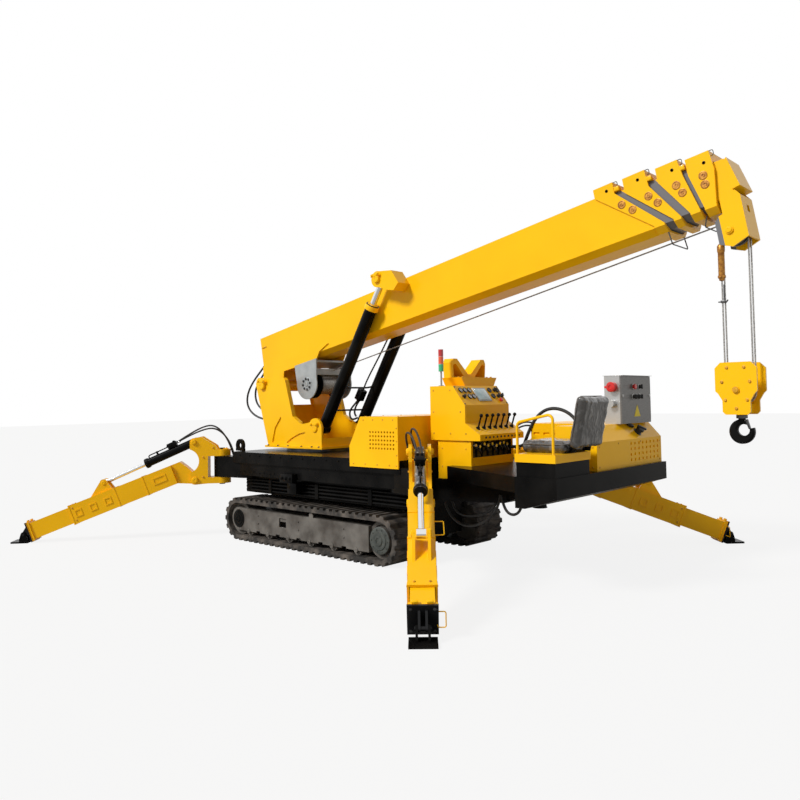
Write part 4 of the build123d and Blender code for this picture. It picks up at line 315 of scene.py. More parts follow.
# %% Give every node its finish
finish_of = {
    "chassis_frame": black_paint,
    "deck": black_paint,
    "lifting_rings": black_paint,
    "side_pipes": black_paint,
    "tracks": rubber,
    "track_frames": frame_paint,
    "operator_platform": black_paint,
    "engine_block": cast_iron,
    "console_levers": black_paint,
    "seat": seat_cover,
    "cabinet": stainless,
    "cabinet_door": door_steel,
    "slew_ring": dark_steel,
    "head_sheaves": dark_steel,
    "winch_frame": grey_paint,
    "winch_drum": black_paint,
    "hook": black_paint,
    "rope_falls": wire_rope,
    "luff_barrels": black_paint,
    "luff_rods": chrome,
}
for name, node in nodes.items():
    finish = finish_of.get(name, yellow_paint)
    if name.startswith(("foot_", "leg_barrel_")):
        finish = black_paint
    if name.startswith("leg_rod_"):
        finish = chrome
    node.data.materials.clear()
    node.data.materials.append(finish)
print("finishes given to", len(nodes), "nodes")

# %% [markdown]
# Every small piece is drawn where its parent's drawing is easiest to read: level with the machine,
# along the boom, along a lifting cylinder, or along a leg. These frames put it back in its place.
# Lengths are metres, counted from the middle of the tracks as on the CAD drawing.

# %% Frames to draw in
MACHINE_X = -0.5310514
BOOM_PIN_X, BOOM_PIN_Z, BOOM_RISE_DEG = -1.2, 1.76, 10.45
LIFT_PIN_X, LIFT_PIN_Z, LIFT_RISE_DEG = -0.267, 1.262, 58.257
machine = Matrix.Translation((MACHINE_X, 0, 0))
boom_rise = Matrix.Rotation(-math.radians(BOOM_RISE_DEG), 4, "Y")
boom = machine @ Matrix.Translation((BOOM_PIN_X, 0, BOOM_PIN_Z)) @ boom_rise
lift_rise = Matrix.Rotation(-math.radians(LIFT_RISE_DEG), 4, "Y")
lift = machine @ Matrix.Translation((LIFT_PIN_X, 0, LIFT_PIN_Z)) @ lift_rise

# Each leg's pivot (x, y), its heading and its arm's slope in degrees, and how far its foot reaches.
LEGS = {
    "rear_near": (-1.53, -0.78, -131.9, 20.79, 2.245),
    "rear_far": (-1.53, 0.78, 131.9, 20.79, 2.245),
    "front_near": (1.60, -0.78, -48.4, 24.51, 1.930),
    "front_far": (1.60, 0.78, 44.8, 21.10, 2.215),
}
LEG_EYE = (0.981, 0.3635)
ARM_PIN, CYLINDER_PIN = (0.300, 0.668), (0.312, 1.110)
ARM_MIDDLE = 0.152
ANKLE_HEIGHT, END_SETBACK = 0.092, 0.095


def leg_frames(name):
    """The frames of a leg's yoke, of its arm and of its cylinder."""
    x, y, heading, slope, _ = LEGS[name]
    yoke = machine @ Matrix.Translation((x, y, 0)) @ Matrix.Rotation(math.radians(heading), 4, "Z")
    slope = math.radians(slope)
    arm = yoke @ Matrix.Translation((ARM_PIN[0], 0, ARM_PIN[1])) @ Matrix.Rotation(slope, 4, "Y")
    eye_x = ARM_PIN[0] + LEG_EYE[0] * math.cos(slope) + LEG_EYE[1] * math.sin(slope)
    eye_z = ARM_PIN[1] - LEG_EYE[0] * math.sin(slope) + LEG_EYE[1] * math.cos(slope)
    fall = math.atan2(CYLINDER_PIN[1] - eye_z, eye_x - CYLINDER_PIN[0])
    top_pin = Matrix.Translation((CYLINDER_PIN[0], 0, CYLINDER_PIN[1]))
    return yoke, arm, yoke @ top_pin @ Matrix.Rotation(fall, 4, "Y")


def end_of_arm(name):
    """How far along a leg its black end plate starts."""
    run, drop = LEGS[name][4] - ARM_PIN[0], ARM_PIN[1] - ANKLE_HEIGHT
    return math.sqrt(run ** 2 + drop ** 2 - ARM_MIDDLE ** 2) - END_SETBACK


print("legs drawn along:", ", ".join(LEGS))

# %% [markdown]
# By hand, a small piece starts as a primitive and is shaped in edit mode.
# A block gets rounded edges, a turned piece grows from a disc one step at a time,
# and a plate is a disc whose corners are moved to its outline before it is thickened.


# %% Helpers that shape a piece
def pick(piece):
    """Selects one piece alone, because an operator acts on all that is selected."""
    bpy.ops.object.select_all(action="DESELECT")
    piece.select_set(True)
    bpy.context.view_layer.objects.active = piece


def round_edges(piece, width, segments=2):
    """Rounds the sharp edges with a bevel, as a file or a casting would leave them."""
    pick(piece)
    bevel = piece.modifiers.new("rounded", "BEVEL")
    bevel.width = width
    bevel.segments = segments
    bpy.ops.object.modifier_apply(modifier="rounded")


def block(name, low, high, edge=0.003):
    """A block between two corners."""
    bpy.ops.object.select_all(action="DESELECT")
    low, high = Vector(low), Vector(high)
    bpy.ops.mesh.primitive_cube_add(size=1, location=(low + high) / 2, scale=high - low)
    piece = bpy.context.object
    piece.name = name
    bpy.ops.object.transform_apply()
    round_edges(piece, edge)
    return piece


def turned(name, steps, sides=24):
    """A turned piece along Z, from its (radius, height) steps."""
    bpy.ops.object.select_all(action="DESELECT")
    radius, height = steps[0]
    bpy.ops.mesh.primitive_circle_add(
        vertices=sides, radius=radius, fill_type="NGON", location=(0, 0, height)
    )
    piece = bpy.context.object
    piece.name = name
    bpy.ops.object.transform_apply()
    bpy.ops.object.mode_set(mode="EDIT")
    bpy.ops.mesh.select_all(action="SELECT")
    for new_radius, new_height in steps[1:]:
        rise = (0, 0, new_height - height)
        bpy.ops.mesh.extrude_region_move(TRANSFORM_OT_translate={"value": rise})
        grow = new_radius / radius
        bpy.ops.transform.resize(value=(grow, grow, 1), center_override=(0, 0, new_height))
        radius, height = new_radius, new_height
    bpy.ops.mesh.select_all(action="SELECT")
    bpy.ops.mesh.normals_make_consistent(inside=False)
    bpy.ops.object.mode_set(mode="OBJECT")
    return piece


def plate(name, corners, thickness, edge=0.002):
    """A plate cut to an outline of (x, z) corners, half its thickness each side of y = 0."""
    bpy.ops.object.select_all(action="DESELECT")
    bpy.ops.mesh.primitive_circle_add(vertices=len(corners), radius=1, fill_type="NGON")
    piece = bpy.context.object
    piece.name = name
    for vertex, (x, z) in zip(piece.data.vertices, corners):
        vertex.co = (x, -thickness / 2, z)
    bpy.ops.object.mode_set(mode="EDIT")
    bpy.ops.mesh.select_all(action="SELECT")
    bpy.ops.mesh.extrude_region_move(TRANSFORM_OT_translate={"value": (0, thickness, 0)})
    bpy.ops.mesh.select_all(action="SELECT")
    bpy.ops.mesh.normals_make_consistent(inside=False)
    bpy.ops.object.mode_set(mode="OBJECT")
    round_edges(piece, edge)
    return piece


print("shaping helpers ready")

# %% [markdown]
# A steel pipe is straight with tight bends, so it starts as straight edges whose corners are bevelled.
# A hose is springy and has no straight run, so it is one smooth spline.
# Both then get a round section and become a mesh.


# %% Helpers for pipes and hoses
BEND_STEPS = 6


def give_section(piece, radius):
    """Makes an edge chain or a curve a closed round bar."""
    pick(piece)
    bpy.ops.object.convert(target="CURVE")
    piece.data.bevel_depth = radius
    piece.data.bevel_resolution = 3
    piece.data.use_fill_caps = True
    bpy.ops.object.convert(target="MESH")
    return bpy.context.object


def pipe(name, corners, radius, bend=0.03):
    """A bent steel pipe or rod through its corners."""
    route = bpy.data.meshes.new(name)
    route.from_pydata(corners, [(i, i + 1) for i in range(len(corners) - 1)], [])
    piece = bpy.data.objects.new(name, route)
    bpy.context.collection.objects.link(piece)
    pick(piece)
    bpy.ops.object.mode_set(mode="EDIT")
    bpy.ops.mesh.select_all(action="SELECT")
    if len(corners) > 2:
        bpy.ops.mesh.bevel(affect="VERTICES", offset=bend, segments=BEND_STEPS)
    bpy.ops.object.mode_set(mode="OBJECT")
    return give_section(piece, radius)


def hose(name, route, radius):
    """A rubber hose on one smooth spline."""
    curve = bpy.data.curves.new(name, "CURVE")
    curve.dimensions = "3D"
    spline = curve.splines.new("NURBS")
    spline.points.add(len(route) - 1)
    for point, place in zip(spline.points, route):
        point.co = (*place, 1)
    spline.order_u = 4
    spline.use_endpoint_u = True
    curve.resolution_u = 8
    piece = bpy.data.objects.new(name, curve)
    bpy.context.collection.objects.link(piece)
    return give_section(piece, radius)


print("pipe helpers ready")

# %% [markdown]
# A finished piece gets its finish, smooth shading where its faces nearly meet, and a body to ride on.
# What repeats, such as a bolt, is modelled once, and each copy has its own mesh, so that the export
# can bake every piece by itself.

# %% Helpers that fasten a piece
SMOOTH_BELOW_DEG = 32


def settle(piece, where, finish, body=None):
    """Puts a piece in its place, with its finish, on the body that carries it."""
    piece.data.transform(where)
    piece.data.materials.clear()
    piece.data.materials.append(finish)
    pick(piece)
    bpy.ops.object.shade_smooth_by_angle(angle=math.radians(SMOOTH_BELOW_DEG))
    if body:
        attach(piece, body)
    return piece


def unite(name, pieces):
    """Joins pieces that are welded or bolted together into one object."""
    pick(pieces[0])
    for piece in pieces[1:]:
        piece.select_set(True)
    if len(pieces) > 1:
        bpy.ops.object.join()
    joined = bpy.context.object
    joined.name = name
    return joined


def copies(source, name, places):
    """Copies one modelled piece to each place and joins the copies."""
    made = []
    for place in places:
        twin = source.copy()
        twin.data = source.data.copy()
        twin.data.transform(place)
        bpy.context.collection.objects.link(twin)
        made.append(twin)
    return unite(name, made)


WAYS = {"Z": (0, 0, 1), "Y": (0, 1, 0), "-Y": (0, -1, 0), "X": (1, 0, 0), "-X": (-1, 0, 0)}
SIDES = ((-1, "-Y"), (1, "Y"))


def at(x, y, z, face="Z", size=1.0):
    """A place whose +Z, the way that a turned piece grows, faces along an axis such as -Y."""
    turn = Vector(WAYS[face]).to_track_quat("Z", "X").to_matrix().to_4x4()
    return Matrix.Translation((x, y, z)) @ turn @ Matrix.Scale(size, 4)


patterns = []


def pattern(piece):
    """Keeps a modelled piece aside as the pattern for its copies."""
    patterns.append(piece)
    return piece


print("fastening helpers ready")

# %% [markdown]
# Nearly all fasteners here are hexagon bolts on a washer, and sheet is held by button screws.
# Pins end in a domed cap, and hoses in a swaged steel fitting with a nut. A bolt could be bought in
# as a finished model, but turning it here takes three lines and keeps its faces few.

# %% Patterns for bolts, caps and fittings
washer = turned("washer", [(0.0155, 0), (0.0155, 0.0025), (0.0145, 0.003)], 20)
head = turned("head", [(0.0115, 0.003), (0.0115, 0.0095), (0.0095, 0.0112), (0.004, 0.0114)], 6)
hex_bolt = pattern(unite("hex_bolt", [washer, head]))

cap_steps = [(0.030, 0), (0.030, 0.006), (0.026, 0.010), (0.012, 0.0115), (0.010, 0.0095)]
pin_cap = pattern(turned("pin_cap", cap_steps, 28))

sleeve = [(0.011, 0), (0.012, 0.002), (0.012, 0.030), (0.010, 0.033), (0.010, 0.036)]
nut = turned("nut", [(0.016, 0.036), (0.017, 0.038), (0.017, 0.052), (0.014, 0.055)], 6)
fitting = pattern(unite("fitting", [turned("sleeve", sleeve, 16), nut]))
BUTTON_STEPS = [(0.0085, 0), (0.0085, 0.0015), (0.006, 0.0042), (0.003, 0.0045), (0.0028, 0.003)]
button = pattern(turned("button", BUTTON_STEPS, 12))
print("patterns:", ", ".join(piece.name for piece in patterns))

# %% [markdown]
# Some nodes wear two paints. They could be cut into two objects, but a CAD node's mesh isn't changed.
# So a mask on the node's own coordinates, turned into the frame of its drawing, splits the colours.


# %% Helpers for two paints on one node
def drawn_place(material, where):
    """The piece's own coordinates, turned into the frame that it was drawn in."""
    tree = material.node_tree
    place = tree.nodes.new("ShaderNodeTexCoord")
    turn = tree.nodes.new("ShaderNodeMapping")
    back = where.inverted()
    turn.inputs["Location"].default_value = back.to_translation()
    turn.inputs["Rotation"].default_value = back.to_euler()
    split = tree.nodes.new("ShaderNodeSeparateXYZ")
    tree.links.new(place.outputs["Object"], turn.inputs["Vector"])
    tree.links.new(turn.outputs["Vector"], split.inputs["Vector"])
    return split.outputs


def compute(material, operation, first, second):
    """One Math node. Each of its two values is a number or another node's output."""
    tree = material.node_tree
    node = tree.nodes.new("ShaderNodeMath")
    node.operation = operation
    for socket, value in zip(node.inputs, (first, second)):
        if isinstance(value, (int, float)):
            socket.default_value = value
        else:
            tree.links.new(value, socket)
    return node.outputs[0]


def overpaint(material, mask, colour):
    """Lays a second colour over the first where the mask is 1."""
    tree = material.node_tree
    base = tree.nodes["Principled BSDF"].inputs["Base Color"]
    mix = tree.nodes.new("ShaderNodeMix")
    mix.data_type = "RGBA"
    colours = [socket for socket in mix.inputs if socket.type == "RGBA"]
    tree.links.new(base.links[0].from_socket, colours[0])
    colours[1].default_value = (*colour, 1)
    tree.links.new(mask, mix.inputs["Factor"])
    tree.links.new([socket for socket in mix.outputs if socket.type == "RGBA"][0], base)


print("two-paint helpers ready")

# %% [markdown]
# The telescope's sliding tubes are bare grey behind their yellow collars. A collar's rear edge leans,
# so the mask is a straight line through its top and its low corner, given along and up the boom.

# %% Grey sliding tubes
SLIDE_GREY = (0.17, 0.17, 0.18)
TIP_EDGE = 5.383
REAR_EDGES = (
    (4.742, 0.591, 5.078, 0.240), (5.013, 0.571, 5.205, 0.245), (5.244, 0.538, 5.310, 0.250),
)
for level, (top_u, top_w, low_u, low_w) in enumerate(REAR_EDGES):
    tube_paint = yellow_paint.copy()
    tube_paint.name = "tube_paint_" + str(level + 2)
    u, _, w = drawn_place(tube_paint, boom)
    lean = (top_u - low_u) / (top_w - low_w)
    edge = compute(tube_paint, "MULTIPLY_ADD", w, lean)
    edge.node.inputs[2].default_value = low_u - low_w * lean
    edge = compute(tube_paint, "MINIMUM", edge, low_u)
    overpaint(tube_paint, compute(tube_paint, "LESS_THAN", u, edge), SLIDE_GREY)
    nodes["boom_" + str(level + 2)].data.materials[0] = tube_paint
tip_paint = yellow_paint.copy()
tip_paint.name = "tube_paint_5"
u, _, _ = drawn_place(tip_paint, boom)
overpaint(tip_paint, compute(tip_paint, "LESS_THAN", u, TIP_EDGE), SLIDE_GREY)
nodes["boom_5"].data.materials[0] = tip_paint
print("grey tubes behind", len(REAR_EDGES) + 1, "collars")

# %% [markdown]
# Every leg's inner arm ends in a black plate that its foot hangs from. It is flat across the arm,
# so the mask only asks how far along the arm a point lies.

# %% Black ends of the legs
END_BLACK = (0.010, 0.010, 0.011)
PAINT_OVERLAP = 0.001
for name in LEGS:
    end_paint = yellow_paint.copy()
    end_paint.name = "end_paint_" + name
    along, _, _ = drawn_place(end_paint, leg_frames(name)[1])
    at_end = compute(end_paint, "GREATER_THAN", along, end_of_arm(name) + PAINT_OVERLAP)
    overpaint(end_paint, at_end, END_BLACK)
    nodes["inner_arm_" + name].data.materials[0] = end_paint
print("black ends on", len(LEGS), "legs")

# %% [markdown]
# The pocket in the console's front, with its valve blocks, is painted near-black as painted shade of the
# recess behind the yellow sheet. Five bounds multiplied together are 1 only inside that pocket.

# %% Painted shade in the console's pocket
POCKET_SHADE = (0.030, 0.030, 0.031)
POCKET_FRONT, POCKET_BACK = 1.9165, 1.60
POCKET_OFFSET, POCKET_HALF_WIDTH = 0.110, 0.3045
POCKET_FLOOR, POCKET_CEILING = 1.0195, 1.1770
pocket_paint = yellow_paint.copy()
pocket_paint.name = "console_paint"
deep, across, high = drawn_place(pocket_paint, machine)
off_middle = compute(pocket_paint, "ADD", across, POCKET_OFFSET)
off_middle = compute(pocket_paint, "ABSOLUTE", off_middle, 0)
inside = compute(pocket_paint, "LESS_THAN", deep, POCKET_FRONT)
for value, operation, bound in (
    (off_middle, "LESS_THAN", POCKET_HALF_WIDTH), (high, "GREATER_THAN", POCKET_FLOOR),
    (high, "LESS_THAN", POCKET_CEILING), (deep, "GREATER_THAN", POCKET_BACK),
):
    bounded = compute(pocket_paint, operation, value, bound)
    inside = compute(pocket_paint, "MULTIPLY", inside, bounded)
# The dark colour laid inside the pocket is painted shade.
overpaint(pocket_paint, inside, POCKET_SHADE)
nodes["console"].data.materials[0] = pocket_paint
print("pocket", round(POCKET_CEILING - POCKET_FLOOR, 3), "m high")

# %% [markdown]
# The signal lamp is a stack of three clear coloured lenses with pale rings between them, on a grey
# foot. A ramp along its height, with hard steps, colours it without any more pieces.

# %% Lenses of the signal lamp
LAMP_FOOT, LAMP_TOP = 1.764, 2.034
FOOT_GREY, RING_PALE = (0.30, 0.30, 0.30), (0.55, 0.53, 0.50)
LENS_BANDS = (
    (0.215, (0.02, 0.42, 0.16)), (0.465, RING_PALE), (0.48, (0.78, 0.10, 0.02)),
    (0.735, RING_PALE), (0.75, (0.52, 0.012, 0.012)),
)
lens_paint = start_finish("lens_stack", (0.6, 0.02, 0.01), 0.16, coat=0.6)
lens_tree = lens_paint.node_tree
_, _, height = drawn_place(lens_paint, machine)
lens_level = lens_tree.nodes.new("ShaderNodeMapRange")
lens_level.inputs["From Min"].default_value = LAMP_FOOT
lens_level.inputs["From Max"].default_value = LAMP_TOP
lens_tree.links.new(height, lens_level.inputs["Value"])
lens_ramp = lens_tree.nodes.new("ShaderNodeValToRGB")
lens_ramp.color_ramp.interpolation = "CONSTANT"
lens_ramp.color_ramp.elements.remove(lens_ramp.color_ramp.elements[1])
lens_ramp.color_ramp.elements[0].color = (*FOOT_GREY, 1)
for place, colour in LENS_BANDS:
    lens_ramp.color_ramp.elements.new(place).color = (*colour, 1)
lens_tree.links.new(lens_level.outputs["Result"], lens_ramp.inputs["Fac"])
lens_shader = lens_tree.nodes["Principled BSDF"]
lens_tree.links.new(lens_ramp.outputs["Color"], lens_shader.inputs["Base Color"])
grain(lens_paint, 120, 0.2)
nodes["signal_lamp"].data.materials[0] = lens_paint
print("lamp bands:", len(LENS_BANDS))

# %% [markdown]
# The telescope's sections slide on pads behind threaded plugs, two on each side of every collar.
# On the real boom they are round bronze plugs, sunk a little in the collar's side.
# A turned plug is modelled once and copied to both sides of all four collars.

# %% Collar plugs and pad stops
BOOM_BODIES = ("boom_base", "boom_2", "boom_3", "boom_4", "boom_5")
COLLAR_HALF = (0.215, 0.197, 0.179, 0.161)
STOP_INSET, STOP_HALF, STOP_LENGTH, STOP_HEIGHT = 0.033, 0.032, 0.042, 0.036
STOP_TOP, STOP_STEP = 0.633, 0.018
PLUGS = (
    ((4.703, 0.502), (4.783, 0.428)),
    ((4.925, 0.492), (4.986, 0.414)),
    ((5.147, 0.495), (5.181, 0.422)),
    ((5.351, 0.496), (5.351, 0.424)),
)
GREASE_HOLES = ((4.600, 0.660), (4.866, 0.653), (5.140, 0.624), (5.377, 0.588))
STOP_FRONTS = (4.664, 4.934, 5.193)

plug_steps = [
    (0.034, -0.004), (0.034, 0.003), (0.031, 0.0045), (0.029, 0.0045), (0.026, 0.001), (0.014, 0.001),
    (0.013, 0.004), (0.008, 0.004), (0.007, 0.0005),
]
hole_steps = [(0.013, -0.002), (0.013, 0.002), (0.010, 0.0025), (0.008, 0)]
collar_plug = pattern(turned("collar_plug", plug_steps, 28))
grease_hole = pattern(turned("grease_hole", hole_steps, 16))

for level, body in enumerate(BOOM_BODIES[:4]):
    half = COLLAR_HALF[level]
    places = []
    for u, w in PLUGS[level]:
        places += [at(u, -half, w, "-Y"), at(u, half, w, "Y")]
    settle(copies(collar_plug, "plugs_" + body, places), boom, plug_bronze, body)
    # Each grease hole is a low black disc whose black is painted shade of the hole.
    u, w = GREASE_HOLES[level]
    holes = [at(u, -half, w, "-Y"), at(u, half, w, "Y")]
    settle(copies(grease_hole, "grease_holes_" + body, holes), boom, black_paint, body)
for level, front in enumerate(STOP_FRONTS):
    inner = COLLAR_HALF[level] - STOP_INSET
    top = STOP_TOP - STOP_STEP * level
    stops = []
    for side in (-1, 1):
        low = (front, side * inner - STOP_HALF, top)
        high = (front + STOP_LENGTH, side * inner + STOP_HALF, top + STOP_HEIGHT)
        stops.append(block("stop", low, high))
    body = BOOM_BODIES[level]
    settle(unite("pad_stops_" + body, stops), boom, yellow_paint, body)
print("plugs on", len(PLUGS), "collars")

# %% [markdown]
# Each collar carries three set screws a side on top, and a thin grease line runs over it as a
# short bow. Real ones are steel brake pipe, so they are bent pipes.

# %% Grease lines and screws on the collars
COLLAR_TOPS = (
    (4.486, 4.663, 0.714), (4.742, 4.933, 0.712), (5.013, 5.192, 0.690), (5.244, 5.428, 0.668),
)
LINE_RADIUS, LINE_BEND = 0.0035, 0.012
LINE_INSET, SCREW_INSET = 0.05, 0.09
SCREW_PITCH = 0.035
for level, (rear, front, top) in enumerate(COLLAR_TOPS):
    body, half = BOOM_BODIES[level], COLLAR_HALF[level]
    line_y = -half + LINE_INSET
    bow = [
        (rear + 0.02, line_y, top - 0.004), (rear + 0.02, line_y, top + 0.012),
        (front + 0.018, line_y, top + 0.012), (front + 0.018, line_y, top - 0.03),
        (front - 0.006, line_y, top - 0.03),
    ]
    line = pipe("grease_line", bow, LINE_RADIUS, LINE_BEND)
    settle(line, boom, dark_steel, body)
    line.name = "grease_line_" + body
    screws = [
        at(rear + 0.05 + SCREW_PITCH * step, side * (half - SCREW_INSET), top, "Z", 0.8)
        for step in range(3) for side in (-1, 1)
    ]
    settle(copies(hex_bolt, "collar_screws_" + body, screws), boom, dark_steel, body)
print("grease lines on", len(COLLAR_TOPS), "collars")

# %% [markdown]
# Two loops of round bar under the collars keep the hoist rope in line.
# The rope itself leaves the drum, runs under the boom and goes over the head's far sheave.
# It is taut, so it is a straight bar. It lengthens with the telescope, so it is made in four spans.

# %% Rope guides and hoist rope
ROPE_RADIUS, GUIDE_RADIUS, GUIDE_BEND = 0.006, 0.005, 0.02
rear_guide = [
    (5.000, -0.150, 0.190), (5.012, -0.150, 0.066), (5.012, 0.150, 0.066), (5.000, 0.150, 0.190),
]
head_guide = [
    (5.300, -0.120, 0.195), (5.270, -0.120, 0.118), (5.270, 0.120, 0.118), (5.300, 0.120, 0.195),
]
rear_bar = pipe("rope_guide_rear", rear_guide, GUIDE_RADIUS, GUIDE_BEND)
settle(rear_bar, boom, dark_steel, "boom_base")
head_bar = pipe("rope_guide_front", head_guide, GUIDE_RADIUS, GUIDE_BEND)
settle(head_bar, boom, dark_steel, "boom_4")

ROPE_START, ROPE_END = Vector((0.618, 0.0, 0.007)), Vector((5.385, 0.0277, 0.1336))
SPANS = 4
stations = [ROPE_START.lerp(ROPE_END, step / SPANS) for step in range(SPANS + 1)]
for span in range(SPANS):
    rope = pipe("hoist_rope_" + str(span + 1), [stations[span], stations[span + 1]], ROPE_RADIUS)
    settle(rope, boom, wire_rope)
    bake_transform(rope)
print("rope length", round((ROPE_END - ROPE_START).length, 3))

# %% [markdown]
# The drum is full of rope in neat turns. A helix of rope would need thousands of faces, and from
# outside the turns are round ridges side by side, so a disc is grown along the axis through
# a scalloped profile.

# %% Rope on the drum
DRUM_X, DRUM_Z = 0.618, -0.112
DRUM_TURNS, TURN_PITCH, HALF_WOUND = 25, 0.0128, 0.160
VALLEY, CREST, VALLEY_HALF = 0.112, 0.1175, 0.0012
wound = [(0.106, -HALF_WOUND)]
for turn in range(DRUM_TURNS):
    start = -HALF_WOUND + turn * TURN_PITCH
    wound += [
        (VALLEY, start + VALLEY_HALF), (CREST, start + TURN_PITCH / 2),
        (VALLEY, start + TURN_PITCH - VALLEY_HALF),
    ]
wound += [(0.106, HALF_WOUND)]
drum_rope = turned("drum_rope", wound, 40)
settle(drum_rope, boom @ at(DRUM_X, 0, DRUM_Z, "Y"), wire_rope, "boom_base")
print("drum turns:", DRUM_TURNS)

# %% [markdown]
# A flat hub with eight bolts closes the drum's near end, and a short motor with a port block drives
# the far one. Both are turned parts, so both are grown from their profiles.

# %% Winch hub and motor
HUB_BOLTS, HUB_RADIUS = 8, 0.062
hub_profile = [
    (0.110, 0), (0.110, 0.004), (0.104, 0.007), (0.074, 0.007), (0.070, 0.004), (0.038, 0.004),
    (0.036, 0.012), (0.022, 0.014), (0.020, 0.011),
]
drum_hub = turned("winch_hub", hub_profile, 36)
settle(drum_hub, boom @ at(DRUM_X, -0.272, DRUM_Z, "-Y", 0.72), grey_paint, "boom_base")
ring = []
for turn in range(HUB_BOLTS):
    angle = turn * math.pi / 4
    along, up = HUB_RADIUS * math.cos(angle), HUB_RADIUS * math.sin(angle)
    ring.append(at(DRUM_X + along, -0.277, DRUM_Z + up, "-Y"))
settle(copies(hex_bolt, "winch_bolts", ring), boom, dark_steel, "boom_base")
motor_steps = [
    (0.062, 0), (0.062, 0.020), (0.055, 0.024), (0.055, 0.060), (0.048, 0.066), (0.020, 0.068),
]
motor = turned("winch_motor", motor_steps, 28)
settle(motor, boom @ at(DRUM_X, 0.272, DRUM_Z, "Y"), black_paint, "boom_base")
port_block = block("motor_ports", (0.578, 0.300, -0.070), (0.658, 0.332, -0.034), 0.004)
settle(port_block, boom, black_paint, "boom_base")
print("hub bolts:", HUB_BOLTS)

# %% [markdown]
# The pins of the lifting lugs and the mast end in domed caps, each held by a keeper plate with two
# bolts, and the head's pin has a cap alone. Small plates like this are cut to an outline, thickened,
# and their edges are broken.


# %% Pin keepers of the boom
HEAD_PIN_U, HEAD_PIN_W = 5.436, 0.034


def keeper(name, x, y, z, side, turn_deg=0.0, size=1.0):
    """A pin's domed cap with its keeper plate and two bolts, on a cheek that faces +Y or -Y."""
    corners = [(-0.048, -0.014), (0.048, -0.014), (0.048, 0.014), (-0.048, 0.014)]
    strap = plate("strap", corners, 0.006)
    strap.data.transform(Matrix.Translation((0, -0.012, 0.036)))
    bolts = [at(dx, -0.015, 0.036, "-Y", 0.8) for dx in (-0.032, 0.032)]
    pieces = [strap, copies(hex_bolt, "bolts", bolts), copies(pin_cap, "cap", [at(0, 0, 0, "-Y", 1.15)])]
    piece = unite(name, pieces)
    flip = Matrix.Rotation(math.pi, 4, "Z") if side > 0 else Matrix.Identity(4)
    turn = Matrix.Rotation(math.radians(turn_deg), 4, "Y")
    piece.data.transform(Matrix.Translation((x, y, z)) @ flip @ turn @ Matrix.Scale(size, 4))
    return piece


for side, label in ((-1, "near"), (1, "far")):
    head_face = "-Y" if side < 0 else "Y"
    head_place = at(HEAD_PIN_U, side * 0.142, HEAD_PIN_W, head_face, 0.8)
    head_cap = copies(pin_cap, "head_pin_cap_" + label, [head_place])
    settle(head_cap, boom, yellow_paint, "boom_5")
    lift_keeper = keeper("lift_pin_keeper_" + label, 2.050, side * 0.386, 0.690, side, 0, 1.2)
    settle(lift_keeper, boom, yellow_paint, "boom_base")
    foot_keeper = keeper(
        "foot_pin_keeper_" + label, BOOM_PIN_X, side * 0.438, BOOM_PIN_Z, side, 0, 1.5,
    )
    settle(foot_keeper, machine, yellow_paint, "mast")
    ear_keeper = keeper(
        "ear_pin_keeper_" + label, LIFT_PIN_X, side * 0.420, LIFT_PIN_Z, side, 0, 1.3,
    )
    settle(ear_keeper, machine, yellow_paint, "mast")
print("pins kept at the head, the lugs and the mast")

# %% [markdown]
# The rope's dead end is held by a wedge socket that hangs from the head, with a cross pin through it.
# Below it a clip holds the spare tail. The falls are plain round bars in the CAD, and the rope over
# the block's sheaves shows between its cheeks, so each sheave gets its half turn of rope.

# %% Wedge socket, clip and rope round the block
BLOCK_BELOW_HEAD, AXLE_BELOW_TOP = 0.985, 0.205
FALL_RADIUS, FALL_Y = 0.101, 0.028
rise = math.radians(BOOM_RISE_DEG)
head_x = BOOM_PIN_X + HEAD_PIN_U * math.cos(rise) - HEAD_PIN_W * math.sin(rise)
head_z = BOOM_PIN_Z + HEAD_PIN_U * math.sin(rise) + HEAD_PIN_W * math.cos(rise)
axle_z = head_z - BLOCK_BELOW_HEAD - AXLE_BELOW_TOP
fall_x = head_x - FALL_RADIUS
socket_steps = [
    (0.013, -0.235), (0.020, -0.230), (0.024, -0.200), (0.024, -0.020), (0.028, -0.010), (0.028, 0.030),
    (0.019, 0.045), (0.010, 0.050),
]
socket = turned("socket_body", socket_steps, 20)
cross_pin = pipe("cross_pin", [(0, -0.036, -0.205), (0, 0.036, -0.205)], 0.007)
collar_steps = [(0.026, -0.215), (0.029, -0.212), (0.029, -0.196), (0.026, -0.193)]
collar = turned("socket_collar", collar_steps, 20)
wedge = unite("wedge_socket", [socket, cross_pin, collar])
wedge_place = machine @ Matrix.Translation((fall_x, -FALL_Y, head_z - 0.125))
settle(wedge, wedge_place, plug_bronze, "hook_block")

saddle = block("clip_saddle", (-0.012, -0.016, -0.010), (0.022, 0.016, 0.010))
bow_corners = [(0.020, -0.010, 0), (-0.030, -0.010, 0), (-0.030, 0.010, 0), (0.020, 0.010, 0)]
bow = pipe("clip_bow", bow_corners, 0.004, 0.009)
tail = pipe("rope_tail", [(0.014, 0, 0.13), (0.014, 0, -0.02), (0.040, 0, 0.012)], 0.0055, 0.02)
clip = unite("rope_clip", [saddle, bow, tail])
clip_place = machine @ Matrix.Translation((fall_x, -FALL_Y, head_z - 0.52))
settle(clip, clip_place, dark_steel, "hook_block")

